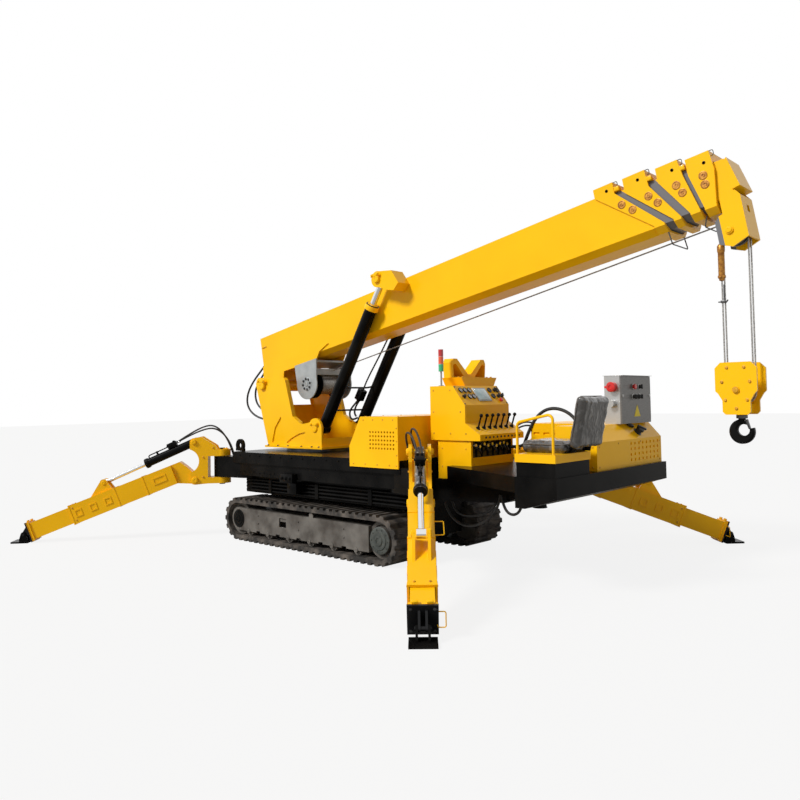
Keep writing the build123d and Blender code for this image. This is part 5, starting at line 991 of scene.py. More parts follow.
for label, y in (("near", -FALL_Y), ("far", FALL_Y)):
    bend = [
        (-FALL_RADIUS, y, 0), (-FALL_RADIUS, y, -0.056), (-0.056, y, -0.101), (0.0, y, -0.103),
        (0.056, y, -0.101), (FALL_RADIUS, y, -0.056), (FALL_RADIUS, y, 0),
    ]
    turn = hose("block_rope_" + label, bend, ROPE_RADIUS)
    settle(turn, machine @ Matrix.Translation((head_x, 0, axle_z)), wire_rope, "hook_block")
print("hook block axle at height", round(axle_z, 3))

# %% [markdown]
# Seven bolts and the axle's end show on each cheek of the hook block, and a sprung latch closes the
# hook. The latch is pressed from sheet, so it is cut as a plate and its edges are broken.

# %% Block bolts and hook latch
block_top = axle_z + AXLE_BELOW_TOP
HOOK_EYE_DROP, HOOK_DROP = 0.390, 0.128
CHEEK_BOLTS = (
    (-0.062, 0.040), (0.062, 0.040), (-0.100, 0.147), (0.100, 0.147), (-0.078, 0.282),
    (0.078, 0.282), (0.0, 0.345),
)
for side, label, face in ((-1, "near", "-Y"), (1, "far", "Y")):
    places = [at(head_x + dx, side * 0.110, block_top - drop, face, 0.85) for dx, drop in CHEEK_BOLTS]
    settle(copies(hex_bolt, "block_bolts_" + label, places), machine, bolt_yellow, "hook_block")
    axle_end = copies(pin_cap, "block_axle_" + label, [at(head_x, side * 0.122, axle_z, face, 0.75)])
    settle(axle_end, machine, bolt_yellow, "hook_block")

hook_z = block_top - HOOK_EYE_DROP - HOOK_DROP
latch_corners = [
    (0.022, 0.086), (0.040, 0.094), (0.058, 0.030), (0.060, 0.014), (0.048, 0.020), (0.036, 0.052),
]
latch = plate("latch_plate", latch_corners, 0.030, 0.004)
latch_pin = pipe("latch_pin", [(0.030, -0.030, 0.084), (0.030, 0.030, 0.084)], 0.005)
latch_whole = unite("hook_latch", [latch, latch_pin])
latch_place = machine @ Matrix.Translation((head_x, 0, hook_z))
settle(latch_whole, latch_place, dark_steel, "hook_block")
nut_steps = [(0.038, 0), (0.040, 0.003), (0.040, 0.024), (0.036, 0.028)]
hook_nut = turned("hook_collar", nut_steps, 24)
nut_place = machine @ Matrix.Translation((head_x, 0, block_top - HOOK_EYE_DROP - 0.030))
settle(hook_nut, nut_place, dark_steel, "hook_block")
print("hook at height", round(hook_z, 3))

# %% [markdown]
# Each lifting cylinder ends in a yellow gland ring with six screws. The ring is turned on a lathe,
# so it is grown here along its axis in the same way.

# %% Glands of the lifting cylinders
CYLINDER_Y = 0.286
GLAND_U, GLAND_SCREW_U, GLAND_SCREW_RADIUS = 1.473, 1.535, 0.052
gland_steps = [
    (0.073, 0), (0.077, 0.004), (0.077, 0.048), (0.074, 0.053), (0.064, 0.056), (0.058, 0.066),
    (0.040, 0.068), (0.036, 0.064),
]
gland = pattern(turned("gland", gland_steps, 36))
glands = [at(GLAND_U, side * CYLINDER_Y, 0, "X") for side in (-1, 1)]
settle(copies(gland, "lift_glands", glands), lift, yellow_paint, "luff_barrels")
screws = []
for side in (-1, 1):
    for turn in range(6):
        angle = turn * math.pi / 3
        across = side * CYLINDER_Y + GLAND_SCREW_RADIUS * math.cos(angle)
        up = GLAND_SCREW_RADIUS * math.sin(angle)
        screws.append(at(GLAND_SCREW_U, across, up, "X", 0.5))
settle(copies(hex_bolt, "gland_screws", screws), lift, dark_steel, "luff_barrels")
print("gland screws:", len(screws))

# %% [markdown]
# Two steel pipes join the pair, and a lock valve on the far cylinder feeds it through four hoses.
# The valve keeps the boom up when a hose bursts, so on the real machine it is bolted to the barrel.

# %% Pipes, lock valve and hoses of the lifting cylinders
CROSS_RADIUS, CROSS_BEND = 0.010, 0.02
upper = [
    (0.540, -0.225, 0.0), (0.540, -0.180, 0.0), (0.510, -0.150, 0.020), (0.510, 0.150, 0.020),
    (0.540, 0.225, 0.0),
]
lower = [
    (0.215, -0.225, 0.020), (0.215, -0.170, 0.020), (0.190, -0.140, 0.060), (0.190, 0.150, 0.060),
    (0.215, 0.225, 0.020),
]
cross = unite("cross_pipes", [
    pipe("upper", upper, CROSS_RADIUS, CROSS_BEND), pipe("lower", lower, CROSS_RADIUS, CROSS_BEND),
])
settle(cross, lift, black_paint, "luff_barrels")
valve_body = block("body", (0.300, 0.150, 0.066), (0.430, 0.240, 0.142), 0.005)
valve_plugs = [
    at(0.330, 0.195, 0.142, "Z", 1.1), at(0.400, 0.195, 0.142, "Z", 1.1),
    at(0.430, 0.180, 0.104, "X"), at(0.365, 0.150, 0.104, "-Y"),
]
lock_valve = unite("lift_lock_valve", [valve_body, copies(hex_bolt, "plugs", valve_plugs)])
settle(lock_valve, lift, black_paint, "luff_barrels")
FEEDS = (
    (0.011, ((0.300, 0.180, 0.10), (0.230, 0.180, 0.12), (0.150, 0.150, 0.14), (0.080, 0.130, 0.08),
             (0.060, 0.150, 0.03), (0.110, 0.200, 0.02))),
    (0.011, ((0.300, 0.210, 0.10), (0.220, 0.215, 0.13), (0.120, 0.190, 0.12), (0.100, 0.215, 0.06))),
    (0.009, ((0.430, 0.210, 0.11), (0.560, 0.215, 0.13), (0.900, 0.225, 0.075),
             (1.440, 0.230, 0.068), (1.455, 0.250, 0.050))),
    (0.009, ((0.110, -0.215, 0.030), (0.560, -0.212, 0.072), (1.000, -0.215, 0.080),
             (1.440, -0.220, 0.068), (1.455, -0.240, 0.050))),
)
feeds = [hose("feed", route, radius) for radius, route in FEEDS]
settle(unite("lift_hoses", feeds), lift, hose_rubber, "luff_barrels")
print("hoses on the lifting cylinders:", len(feeds))

# %% [markdown]
# Each leg folds on pins: the arm's root pin, the cylinder's pin, and the ankle. Their ends show as
# domed caps on the yoke's cheeks. The caps are copied from the same pattern as the boom's.

# %% Pins of the legs
CAP_Y, CHEEK_BOLT_Y, EYE_CAP_Y = 0.108, 0.098, 0.067
CHEEK_BOLT_PLACES = ((0.205, 0.700), (0.205, 0.930), (0.090, 1.040))
PIN_PLATE = [(-0.050, -0.030), (0.050, -0.030), (0.050, 0.030), (-0.050, 0.030)]
for name in LEGS:
    yoke_frame, arm_frame, _ = leg_frames(name)
    caps = [
        at(x, side * CAP_Y, z, face, size) for side, face in SIDES
        for (x, z), size in ((ARM_PIN, 1.2), (CYLINDER_PIN, 0.95))
    ]
    settle(copies(pin_cap, "yoke_pins_" + name, caps), yoke_frame, yellow_paint, "yoke_" + name)
    bolts = [
        at(x, side * CHEEK_BOLT_Y, z, face, 0.8) for side, face in SIDES
        for x, z in CHEEK_BOLT_PLACES
    ]
    settle(copies(hex_bolt, "yoke_bolts_" + name, bolts), yoke_frame, bolt_yellow, "yoke_" + name)
    top = plate("pin_plate", PIN_PLATE, 0.008)
    top.data.transform(Matrix.Rotation(math.pi / 2, 4, "X"))
    top_bolts = copies(hex_bolt, "bolts", [at(dx, 0, 0.004, "Z", 0.8) for dx in (-0.032, 0.032)])
    pin_plate = unite("pin_plate_" + name, [top, top_bolts])
    plate_place = yoke_frame @ Matrix.Translation((-0.02, 0, 1.0225))
    settle(pin_plate, plate_place, yellow_paint, "yoke_" + name)
    eye = [at(LEG_EYE[0], side * EYE_CAP_Y, LEG_EYE[1], face, 0.85) for side, face in SIDES]
    settle(copies(pin_cap, "arm_eye_pins_" + name, eye), arm_frame, yellow_paint, "arm_" + name)
print("pins on", len(LEGS), "legs")

# %% [markdown]
# The arm's mouth is closed by wear-pad screws, its end flange is bolted through, and two tabs stand
# on it. Bolts are all alike, so they are copied from the one pattern at three quarters of its size.

# %% Screws and tabs on the arms
MOUTH, FLANGE_THICKNESS = 1.395, 0.018
TAB_Y, TAB_HALF = 0.050, 0.022
flange_of = {name: end_of_arm(name) + FLANGE_THICKNESS for name in LEGS}
for name, flange in flange_of.items():
    _, arm_frame, _ = leg_frames(name)
    arm_body, inner_body = "arm_" + name, "inner_arm_" + name
    screws = [
        at(MOUTH, side * 0.100, ARM_MIDDLE + rise, face, 0.7) for side, face in SIDES
        for rise in (-0.075, 0.075)
    ]
    screws += [at(MOUTH, side * 0.055, 0.2645, "Z", 0.7) for side in (-1, 1)]
    settle(copies(hex_bolt, "pad_screws_" + name, screws), arm_frame, bolt_yellow, arm_body)
    bolts = [
        at(flange, side * 0.078, ARM_MIDDLE + rise, "X", 0.75) for side in (-1, 1)
        for rise in (-0.088, 0.088)
    ]
    settle(copies(hex_bolt, "flange_bolts_" + name, bolts), arm_frame, dark_steel, inner_body)
    tabs = []
    for side in (-1, 1):
        low = (flange - 0.040, side * TAB_Y - TAB_HALF, 0.262)
        high = (flange - 0.020, side * TAB_Y + TAB_HALF, 0.286)
        tabs.append(block("tab", low, high, 0.004))
    settle(unite("flange_tabs_" + name, tabs), arm_frame, yellow_paint, inner_body)
print("arms closed on", len(LEGS), "legs")

# %% [markdown]
# Every arm has two handles of thin bent wire for folding it by hand, on the side that faces out.
# Wire like this is straight with tight bends, so it is made as a small pipe.

# %% Handles on the arms
HANDLE_HEIGHT = 0.225
for name, flange in flange_of.items():
    _, arm_frame, _ = leg_frames(name)
    outer = 1 if name in ("front_near", "rear_far") else -1
    grip = [
        (0.62, outer * 0.100, HANDLE_HEIGHT), (0.62, outer * 0.172, HANDLE_HEIGHT),
        (0.80, outer * 0.172, HANDLE_HEIGHT), (0.80, outer * 0.100, HANDLE_HEIGHT),
    ]
    end_grip = [
        (flange - 0.008, outer * 0.092, 0.215), (flange - 0.008, outer * 0.150, 0.215),
        (flange + 0.030, outer * 0.150, 0.120), (flange + 0.030, outer * 0.100, 0.120),
        (flange + 0.008, outer * 0.094, 0.120),
    ]
    handle = pipe("handle", grip, 0.0045, 0.014)
    settle(handle, arm_frame, yellow_paint, "arm_" + name)
    handle.name = "arm_handle_" + name
    foot_handle = pipe("foot_handle", end_grip, 0.004, 0.012)
    settle(foot_handle, arm_frame, yellow_paint, "inner_arm_" + name)
    foot_handle.name = "end_handle_" + name
print("handles:", 2 * len(LEGS))

# %% [markdown]
# Every leg's cylinder has a lock valve on its upper end, with a steel pipe along the barrel to a
# collar at the rod's end. The valve is a milled block, so it starts as a block with broken edges.

# %% Valves and pipes of the leg cylinders
PORT_Y = 0.022
VALVE_PLUGS = (
    (0.225, 0.020, 0.108, "Z", 0.95), (0.225, -0.020, 0.108, "Z", 0.95), (0.310, 0, 0.085, "X", 1.1),
    (0.262, -0.042, 0.080, "-Y", 0.9), (0.262, 0.042, 0.080, "Y", 0.9),
)
VALVE_LINE = [(0.310, 0, 0.076), (0.360, 0, 0.074), (0.556, 0, 0.074), (0.556, 0, 0.046)]
RING_STEPS = [(0.0562, 0), (0.0585, 0.003), (0.0585, 0.030), (0.052, 0.038), (0.027, 0.039)]
for name in LEGS:
    _, _, cylinder_frame = leg_frames(name)
    barrel_body = "leg_barrel_" + name
    body = block("body", (0.200, -0.042, 0.046), (0.310, 0.042, 0.108), 0.006)
    plugs = copies(hex_bolt, "plugs", [at(*plug) for plug in VALVE_PLUGS])
    valve = unite("leg_valve_" + name, [body, plugs])
    settle(valve, cylinder_frame, black_paint, barrel_body)
    ring = turned("ring", RING_STEPS, 28)
    ring.data.transform(at(0.582, 0, 0, "X"))
    clamp = block("clamp", (0.440, -0.016, 0.044), (0.460, 0.016, 0.084), 0.003)
    piping_run = unite("leg_pipe_" + name, [pipe("line", VALVE_LINE, 0.007, 0.018), ring, clamp])
    settle(piping_run, cylinder_frame, black_paint, barrel_body)
    ends = [cylinder_frame @ at(0.200, y, 0.080, "-X", 0.8) for y in (-PORT_Y, PORT_Y)]
    nuts = copies(fitting, "leg_fittings_" + name, ends)
    settle(nuts, Matrix.Identity(4), zinc, barrel_body)
print("cylinders dressed on", len(LEGS), "legs")

# %% [markdown]
# Two hoses rise from each valve in a loop over the yoke and go down to the deck. They cross two pins.
# One mesh can follow only two bodies that share a joint, so each hose is made in two spans
# that meet at the loop's crest.

# %% Hoses of the leg cylinders
HOSE_RADIUS, SWAY = 0.0095, 0.075
HOSE_PORTS = (("left", -PORT_Y, 1.265), ("right", PORT_Y, 1.300))
for name in LEGS:
    yoke_frame, _, cylinder_frame = leg_frames(name)
    barrel_body, yoke_body = "leg_barrel_" + name, "yoke_" + name
    sway = SWAY if name in ("rear_near", "front_far") else -SWAY
    from_yoke = cylinder_frame.inverted() @ yoke_frame
    to_yoke = yoke_frame.inverted()
    for label, y, crest_z in HOSE_PORTS:
        crest = from_yoke @ Vector((0.130, y + sway, crest_z))
        start = Vector((0.214, y, 0.080))
        lead = from_yoke @ Vector((0.260, y + sway * 0.4, crest_z - 0.010))
        route = [start, start + Vector((-0.070, 0, 0.004)), lead, crest]
        upper = hose("leg_hose_upper_" + label + "_" + name, route, HOSE_RADIUS)
        settle(upper, cylinder_frame, hose_rubber)
        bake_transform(upper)
        crest_low = to_yoke @ (cylinder_frame @ crest)
        follow = crest_low + (crest_low - to_yoke @ (cylinder_frame @ lead)) * 0.7
        fall = [
            crest_low, follow, Vector((-0.085, y + sway * 1.3, 1.150)),
            Vector((-0.115, y * 2 + sway * 0.6, 1.040)), Vector((-0.135, y * 1.6, 0.950)),
        ]
        lower = hose("leg_hose_lower_" + label + "_" + name, fall, HOSE_RADIUS)
        settle(lower, yoke_frame, hose_rubber)
        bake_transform(lower)
print("hoses on", len(LEGS), "legs:", 2 * len(HOSE_PORTS) * len(LEGS), "spans")

# %% [markdown]
# The mast's base is bolted to the slewing ring, and two hoses leave the boom's tail,
# bow out behind the mast and go back in through its rear plate. They flex with the boom.

# %% Mast bolts and hoses
EDGE_BOLT_Y, EDGE_BOLT_Z = 0.4405, 1.0563
EDGE_BOLT_X = (-1.080, -0.900, -0.720, -0.480, -0.300, -0.180)
edge_bolts = [
    at(x, side * EDGE_BOLT_Y, EDGE_BOLT_Z, "Z", 0.9) for side in (-1, 1) for x in EDGE_BOLT_X
]
settle(copies(hex_bolt, "mast_base_bolts", edge_bolts), machine, dark_steel, "mast")

TAIL_OUTER = (
    (-1.452, -0.150, 2.090), (-1.500, -0.160, 2.020), (-1.640, -0.185, 1.900),
    (-1.830, -0.200, 1.700), (-1.850, -0.200, 1.500), (-1.640, -0.190, 1.360),
    (-1.400, -0.180, 1.340), (-1.195, -0.170, 1.335),
)
TAIL_INNER = (
    (-1.436, -0.080, 2.150), (-1.500, -0.090, 2.080), (-1.600, -0.110, 1.900),
    (-1.760, -0.130, 1.760), (-1.760, -0.130, 1.560), (-1.600, -0.120, 1.440),
    (-1.380, -0.110, 1.430), (-1.215, -0.100, 1.425),
)
TAIL_RADIUS = 0.012
for label, route in (("outer", TAIL_OUTER), ("inner", TAIL_INNER)):
    tail_hose = hose("tail_hose_" + label, route, TAIL_RADIUS)
    settle(tail_hose, machine, hose_rubber)
    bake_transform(tail_hose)
plate_ends = [at(-1.222, -0.170, 1.335, "-X", 1.1), at(-1.243, -0.100, 1.425, "-X", 1.1)]
settle(copies(fitting, "mast_fittings", plate_ends), machine, zinc, "mast")
gland_plate = block("tail_gland", (-0.262, -0.175, 0.330), (-0.240, -0.050, 0.470), 0.004)
settle(gland_plate, boom, yellow_paint, "boom_base")
tail_bolts = [
    at(-0.1995 + 0.030 * step, side * 0.2003, 0.520, face, 0.8) for step in range(3)
    for side, face in SIDES
]
settle(copies(hex_bolt, "tail_bolts", tail_bolts), boom, bolt_yellow, "boom_base")
print("tail hoses run from boom to mast")

# %% [markdown]
# The deck's sides are plain plates with a row of bolts under the edge, and a junction block for the
# pipes that run along it. The blocks are milled, so they are blocks with broken edges, and their
# plugs are copies of the bolt.

# %% Deck side junctions
pieces = []
for side, face in SIDES:
    low, high = sorted((side * 0.800, side * 0.868))
    junction = block("junction", (-0.330, low, 0.705), (-0.120, high, 0.800), 0.006)
    stubs = [at(x, side * 0.868, 0.752, face, 1.3) for x in (-0.290, -0.225, -0.160)]
    side_low, side_high = sorted((side * 0.720, side * 0.790))
    lower = block("junction_low", (-0.300, side_low, 0.580), (-0.150, side_high, 0.700), 0.006)
    pieces += [junction, lower, copies(hex_bolt, "stubs", stubs)]
settle(unite("deck_junctions", pieces), machine, black_paint, "base")

ROW_START, ROW_PITCH, ROW_Y = -1.10, 0.185, 0.8303
rows = []
for height, count in ((0.965, 10), (0.775, 4)):
    rows += [
        at(ROW_START + ROW_PITCH * step, side * ROW_Y, height, face, 0.75)
        for step in range(count) for side, face in SIDES
    ]
settle(copies(hex_bolt, "deck_bolts", rows), machine, black_paint, "base")
print("deck bolts:", len(rows))

# %% [markdown]
# The engine cover is folded sheet held by button screws along its edges. A button screw is a low
# dome with a socket, so its pattern is one small turned piece, copied round the edges.

# %% Engine cover screws
COVER_Y, COVER_TOP = 0.846, 1.4053
TOP_SCREW_Y = (-0.80, -0.56, -0.30, 0.30, 0.56, 0.80)
screws = []
for side, face in SIDES:
    screws += [at(x, side * COVER_Y, 1.375, face) for x in (0.94, 1.07, 1.20, 1.33)]
    screws += [at(x, side * COVER_Y, 0.955, face) for x in (0.80, 0.96, 1.12, 1.28, 1.37)]
    screws += [at(1.375, side * COVER_Y, z, face) for z in (1.05, 1.18, 1.30)]
screws += [at(x, y, COVER_TOP, "Z") for x in (0.93, 1.36) for y in TOP_SCREW_Y]
settle(copies(button, "cover_screws", screws), machine, bolt_yellow, "base")
print("cover screws:", len(screws))

# %% [markdown]
# The console's dials are white under glass, its screen is a pale liquid-crystal one, and its switches
# are moulded plastic with a fine grain. These finishes are only used from here on.

# %% Finishes of the console
dial_white = start_finish("dial_white", (0.70, 0.70, 0.68), 0.35, coat=0.4)
mottle(dial_white, (0.60, 0.60, 0.58), (0.74, 0.74, 0.72), 60)
screen_glass = start_finish("screen_glass", (0.28, 0.42, 0.45), 0.08, coat=1.0)
mottle(screen_glass, (0.20, 0.33, 0.37), (0.40, 0.55, 0.57), 14, 0.3, 0.7)
moulded_black = start_finish("moulded_black", (0.012, 0.012, 0.013), 0.42)
mottle(moulded_black, (0.010, 0.010, 0.010), (0.026, 0.025, 0.024), 40)
grain(moulded_black, 500, 0.25)
knob_red = start_finish("knob_red", (0.62, 0.012, 0.010), 0.28, coat=0.4)
mottle(knob_red, (0.50, 0.010, 0.008), (0.68, 0.016, 0.012), 30)
print("console finishes ready")

# %% [markdown]
# The driver reads gauges and a screen on the console's slanted face. Each piece could be tilted by
# hand, but a frame laid in that face, with x across it and y up the slope, makes all of it flat work.

# %% Screen on the slanted face
SLOPE_LOW, SLOPE_HIGH = Vector((1.875, 0, 1.500)), Vector((1.735, 0, 1.682))


def slope_frame(low, high):
    """A frame in a face that slopes from low to high, with x across it and y up it."""
    across, up = Vector((0, 1, 0)), (high - low).normalized()
    turn = Matrix((across, up, across.cross(up))).transposed().to_4x4()
    return machine @ Matrix.Translation(low) @ turn


dash = slope_frame(SLOPE_LOW, SLOPE_HIGH)
bezel = block("screen_bezel", (-0.206, 0.040, -0.002), (-0.006, 0.198, 0.010), 0.005)
settle(bezel, dash, grey_paint, "base")
glass = block("screen_glass_pane", (-0.192, 0.056, 0.006), (-0.020, 0.182, 0.0125), 0.003)
settle(glass, dash, screen_glass, "base")
print("slope", round((SLOPE_HIGH - SLOPE_LOW).length, 3), "m long")

# %% [markdown]
# Eight round gauges have a moulded rim, and five of them show a white face with a needle. The other
# three are dark. Rims, faces and needles are three patterns, each copied to its places.

# %% Gauges
GAUGES = (
    (-0.390, 0.172), (-0.325, 0.172), (-0.260, 0.172), (-0.310, 0.098), (-0.248, 0.098),
    (0.055, 0.172), (0.180, 0.172), (0.060, 0.100),
)
WHITE_GAUGES = GAUGES[:5]
NEEDLE_STEP = 0.7
rim_steps = [
    (0.027, 0), (0.027, 0.010), (0.0255, 0.012), (0.022, 0.012), (0.0215, 0.008), (0.002, 0.008),
]
gauge_rim = pattern(turned("gauge_rim", rim_steps, 28))
rims = [at(x, y, 0) for x, y in GAUGES]
settle(copies(gauge_rim, "gauge_rims", rims), dash, moulded_black, "base")
face_steps = [
    (0.0208, 0.0075), (0.0208, 0.0088), (0.0195, 0.0092), (0.0105, 0.0092), (0.0100, 0.0086),
]
gauge_face = pattern(turned("face", face_steps, 28))
faces = [at(x, y, 0) for x, y in WHITE_GAUGES]
settle(copies(gauge_face, "gauge_faces", faces), dash, dial_white, "base")
needle_base = turned("needle_base", [(0.004, 0.009), (0.004, 0.0115), (0.002, 0.012)], 12)
needle_arm = block("needle_arm", (-0.001, -0.002, 0.0100), (0.001, 0.017, 0.0108), 0.0003)
needle = pattern(unite("needle", [needle_base, needle_arm]))
needles = [
    at(x, y, 0) @ Matrix.Rotation(NEEDLE_STEP * index, 4, "Z")
    for index, (x, y) in enumerate(WHITE_GAUGES)
]
settle(copies(needle, "gauge_needles", needles), dash, moulded_black, "base")
print("gauges:", len(GAUGES))

# %% [markdown]
# Four turning switches and a red stop button sit between the gauges. A switch is a turned body with
# a bar across it to grip, and each one is turned to its own position.

# %% Switches and stop button
SWITCHES = ((0.135, 0.172), (0.140, 0.100), (0.195, 0.100), (-0.395, 0.098))
FIRST_TURN, TURN_STEP = 0.6, 0.5
knob_steps = [(0.021, 0), (0.021, 0.004), (0.016, 0.006), (0.016, 0.022), (0.013, 0.025)]
knob_body = turned("knob_body", knob_steps, 20)
knob_grip = block("knob_grip", (-0.004, -0.019, 0.020), (0.004, 0.019, 0.034), 0.0015)
switch = pattern(unite("switch", [knob_body, knob_grip]))
turns = [
    at(x, y, 0) @ Matrix.Rotation(FIRST_TURN - TURN_STEP * index, 4, "Z")
    for index, (x, y) in enumerate(SWITCHES)
]
settle(copies(switch, "console_switches", turns), dash, moulded_black, "base")
cap_profile = [(0.014, 0), (0.014, 0.008), (0.020, 0.012), (0.020, 0.020), (0.015, 0.024)]
button_cap = turned("button_cap", cap_profile, 24)
button_place = dash @ at(0.135, 0.046, 0)
settle(button_cap, button_place, knob_red, "base")
print("switches:", len(SWITCHES))

# %% [markdown]
# The seven levers pass through rubber boots on the ledge, and ten small eyelets line its edge.
# A boot is folded in rings, so its profile goes in and out once before it closes on the lever.

# %% Lever boots and ledge eyelets
LEVERS, LEVER_START, LEVER_PITCH = 7, -0.380, 0.0883
LEDGE_X, LEDGE_Z = 1.957, 1.279
boot_steps = [
    (0.020, 0), (0.020, 0.004), (0.015, 0.008), (0.017, 0.014), (0.011, 0.020), (0.012, 0.026),
]
boot = pattern(turned("boot", boot_steps, 20))
boots = [at(LEDGE_X, LEVER_START + LEVER_PITCH * index, LEDGE_Z) for index in range(LEVERS)]
settle(copies(boot, "lever_boots", boots), machine, hose_rubber, "base")
eyelet_steps = [(0.0105, 0), (0.0105, 0.003), (0.008, 0.004), (0.006, 0.001)]
eyelet = pattern(turned("eyelet", eyelet_steps, 16))
edge_row = [at(2.0400, -0.372 + 0.058 * index, 1.206, "X") for index in range(10)]
settle(copies(eyelet, "ledge_eyelets", edge_row), machine, moulded_black, "base")
print("levers:", LEVERS)

# %% [markdown]
# The valves in the pocket are joined by hoses that bow out of it. Real ones are all a little
# different, so the table gives each bow its own place, width, drop and shift.

# %% Pocket hoses
PORT_X, PORT_Z, PORT_SLIP = 1.885, 1.128, 0.6
BOW_RADIUS = 0.0085
HOSE_BOWS = (
    (-0.392, 0.030, 0.052, 0.010), (-0.330, 0.046, 0.070, -0.014), (-0.262, 0.052, 0.058, 0.020),
    (-0.205, 0.034, 0.085, -0.006), (-0.140, 0.060, 0.064, 0.012), (-0.075, 0.040, 0.078, -0.020),
    (-0.018, 0.056, 0.060, 0.008), (0.042, 0.036, 0.088, 0.016), (0.100, 0.050, 0.066, -0.010),
)
bows = []
for y, width, drop, shift in HOSE_BOWS:
    top = PORT_Z + shift * PORT_SLIP
    bows.append(hose("bow", [
        (PORT_X, y, top), (1.925, y, top), (1.945, y + shift, top - drop * 0.5),
        (1.938, y + width * 0.6 + shift, top - drop), (1.915, y + width, top - drop * 0.7),
        (1.880, y + width, top - 0.012),
    ], BOW_RADIUS))
settle(unite("pocket_hoses", bows), machine, hose_rubber, "base")
nuts = [at(1.884, y, PORT_Z + shift * PORT_SLIP, "X", 1.05) for y, _, _, shift in HOSE_BOWS]
settle(copies(fitting, "pocket_fittings", nuts), machine, zinc, "base")
print("pocket hoses:", len(HOSE_BOWS))

# %% [markdown]
# The console is a folded sheet box too, so its screws are the same buttons as on the engine cover.
# The rest for the boom on its top is bolted down.

# %% Console screws
SIDE_SCREWS = (
    (1.500, 1.640), (1.700, 1.640), (1.500, 1.440), (1.820, 1.440), (1.500, 1.240),
    (1.700, 1.240), (1.880, 1.240),
)
screws = [at(x, -0.460, z, "-Y") for x, z in SIDE_SCREWS]
screws += [at(x, 0.230, z, "Y") for x, z in SIDE_SCREWS]
screws += [at(x, -0.440, z, "-Y") for x in (1.580, 1.860) for z in (0.760, 0.930, 1.100)]
screws += [at(1.920, y, z, "X") for y in (-0.400, 0.180) for z in (0.740, 0.960)]
settle(copies(button, "console_buttons", screws), machine, bolt_yellow, "base")
corners = [dash @ at(x, y, 0) for x in (-0.445, 0.215) for y in (0.016, 0.214)]
settle(copies(button, "dash_buttons", corners), Matrix.Identity(4), dark_steel, "base")
rest_bolts = [at(x, side * 0.225, 1.7640, "Z", 0.9) for x in (1.620, 1.670) for side in (-1, 1)]
settle(copies(hex_bolt, "rest_bolts", rest_bolts), machine, bolt_yellow, "base")
print("console screws:", len(screws))

# %% [markdown]
# The driver's end has a cabinet of brushed steel with a stop button and switches on its door.
# They are the console's switch and button again, a little larger, each on a bright ring.

# %% Cabinet switches
DOOR_FACE = 3.0243
SWITCH_ROWS = ((0.530, 1.642), (0.650, 1.642), (0.530, 1.552), (0.590, 1.552), (0.650, 1.552))
upright_grip = Matrix.Rotation(math.pi / 2, 4, "Z")
selectors = [at(DOOR_FACE, y, z, "X", 1.08) @ upright_grip for y, z in SWITCH_ROWS[1:]]
settle(copies(switch, "door_switches", selectors), machine, moulded_black, "cabinet_door")
stop = copies(button_cap, "door_stop", [Matrix.Identity(4)])
stop.data.transform(button_place.inverted())
stop_place = machine @ at(DOOR_FACE, *SWITCH_ROWS[0], "X", 1.25)
settle(stop, stop_place, knob_red, "cabinet_door")
ring_steps = [(0.0225, 0), (0.0225, 0.003), (0.0200, 0.004), (0.0180, 0.001)]
collar_ring = pattern(turned("collar_ring", ring_steps, 24))
rings = [at(DOOR_FACE, y, z, "X", 1.15) for y, z in SWITCH_ROWS]
settle(copies(collar_ring, "switch_rings", rings), machine, zinc, "cabinet_door")
print("switches on the door:", len(SWITCH_ROWS))

# %% [markdown]
# A blank yellow plate, two turning locks and a rain lip over the door are thin, so the plate and the
# lip are cut to an outline and the locks are turned. A red socket for shore power is on the side.

# %% Plate, locks, lip and socket of the cabinet
sign_yellow = start_finish("sign_yellow", (0.80, 0.62, 0.02), 0.5)
mottle(sign_yellow, (0.72, 0.54, 0.02), (0.84, 0.66, 0.03), 40)
sign = plate("door_sign", [(-0.062, 0), (0.062, 0), (0, 0.107)], 0.0016, 0.0006)
face_x = Matrix.Rotation(math.pi / 2, 4, "Z")
sign_place = machine @ Matrix.Translation((DOOR_FACE + 0.0008, 0.600, 1.372)) @ face_x
settle(sign, sign_place, sign_yellow, "cabinet_door")
lock_steps = [(0.013, 0), (0.013, 0.004), (0.010, 0.007), (0.006, 0.007), (0.005, 0.004)]
for label, y in (("left", 0.325), ("right", 0.855)):
    lock_body = turned("lock", lock_steps, 20)
    lock_body.name = "door_lock_" + label
    settle(lock_body, machine @ at(DOOR_FACE, y, 1.560, "X"), zinc, "cabinet_door")
lip_corners = [(2.850, 1.7400), (3.043, 1.7400), (3.043, 1.7430), (2.850, 1.7430)]
lip = plate("cabinet_lip", lip_corners, 0.590, 0.001)
settle(lip, machine @ Matrix.Translation((0, 0.590, 0)), stainless, "base")

power_steps = [
    (0.050, 0), (0.050, 0.012), (0.046, 0.016), (0.046, 0.040), (0.052, 0.044), (0.052, 0.056),
    (0.044, 0.062), (0.020, 0.064), (0.018, 0.058),
]
power_cap = turned("socket_cap", power_steps, 28)
tab = block("socket_tab", (-0.012, 0.040, 0.030), (0.012, 0.078, 0.046), 0.003)
power_place = machine @ at(2.948, 0.2990, 1.640, "-Y", 0.85)
settle(unite("red_socket", [power_cap, tab]), power_place, knob_red, "base")
print("cabinet dressed")

# %% [markdown]
# The end cover's slanted face has a filler cap with a wing to turn it by. It is laid in that face
# with a frame of its own, as the gauges were.

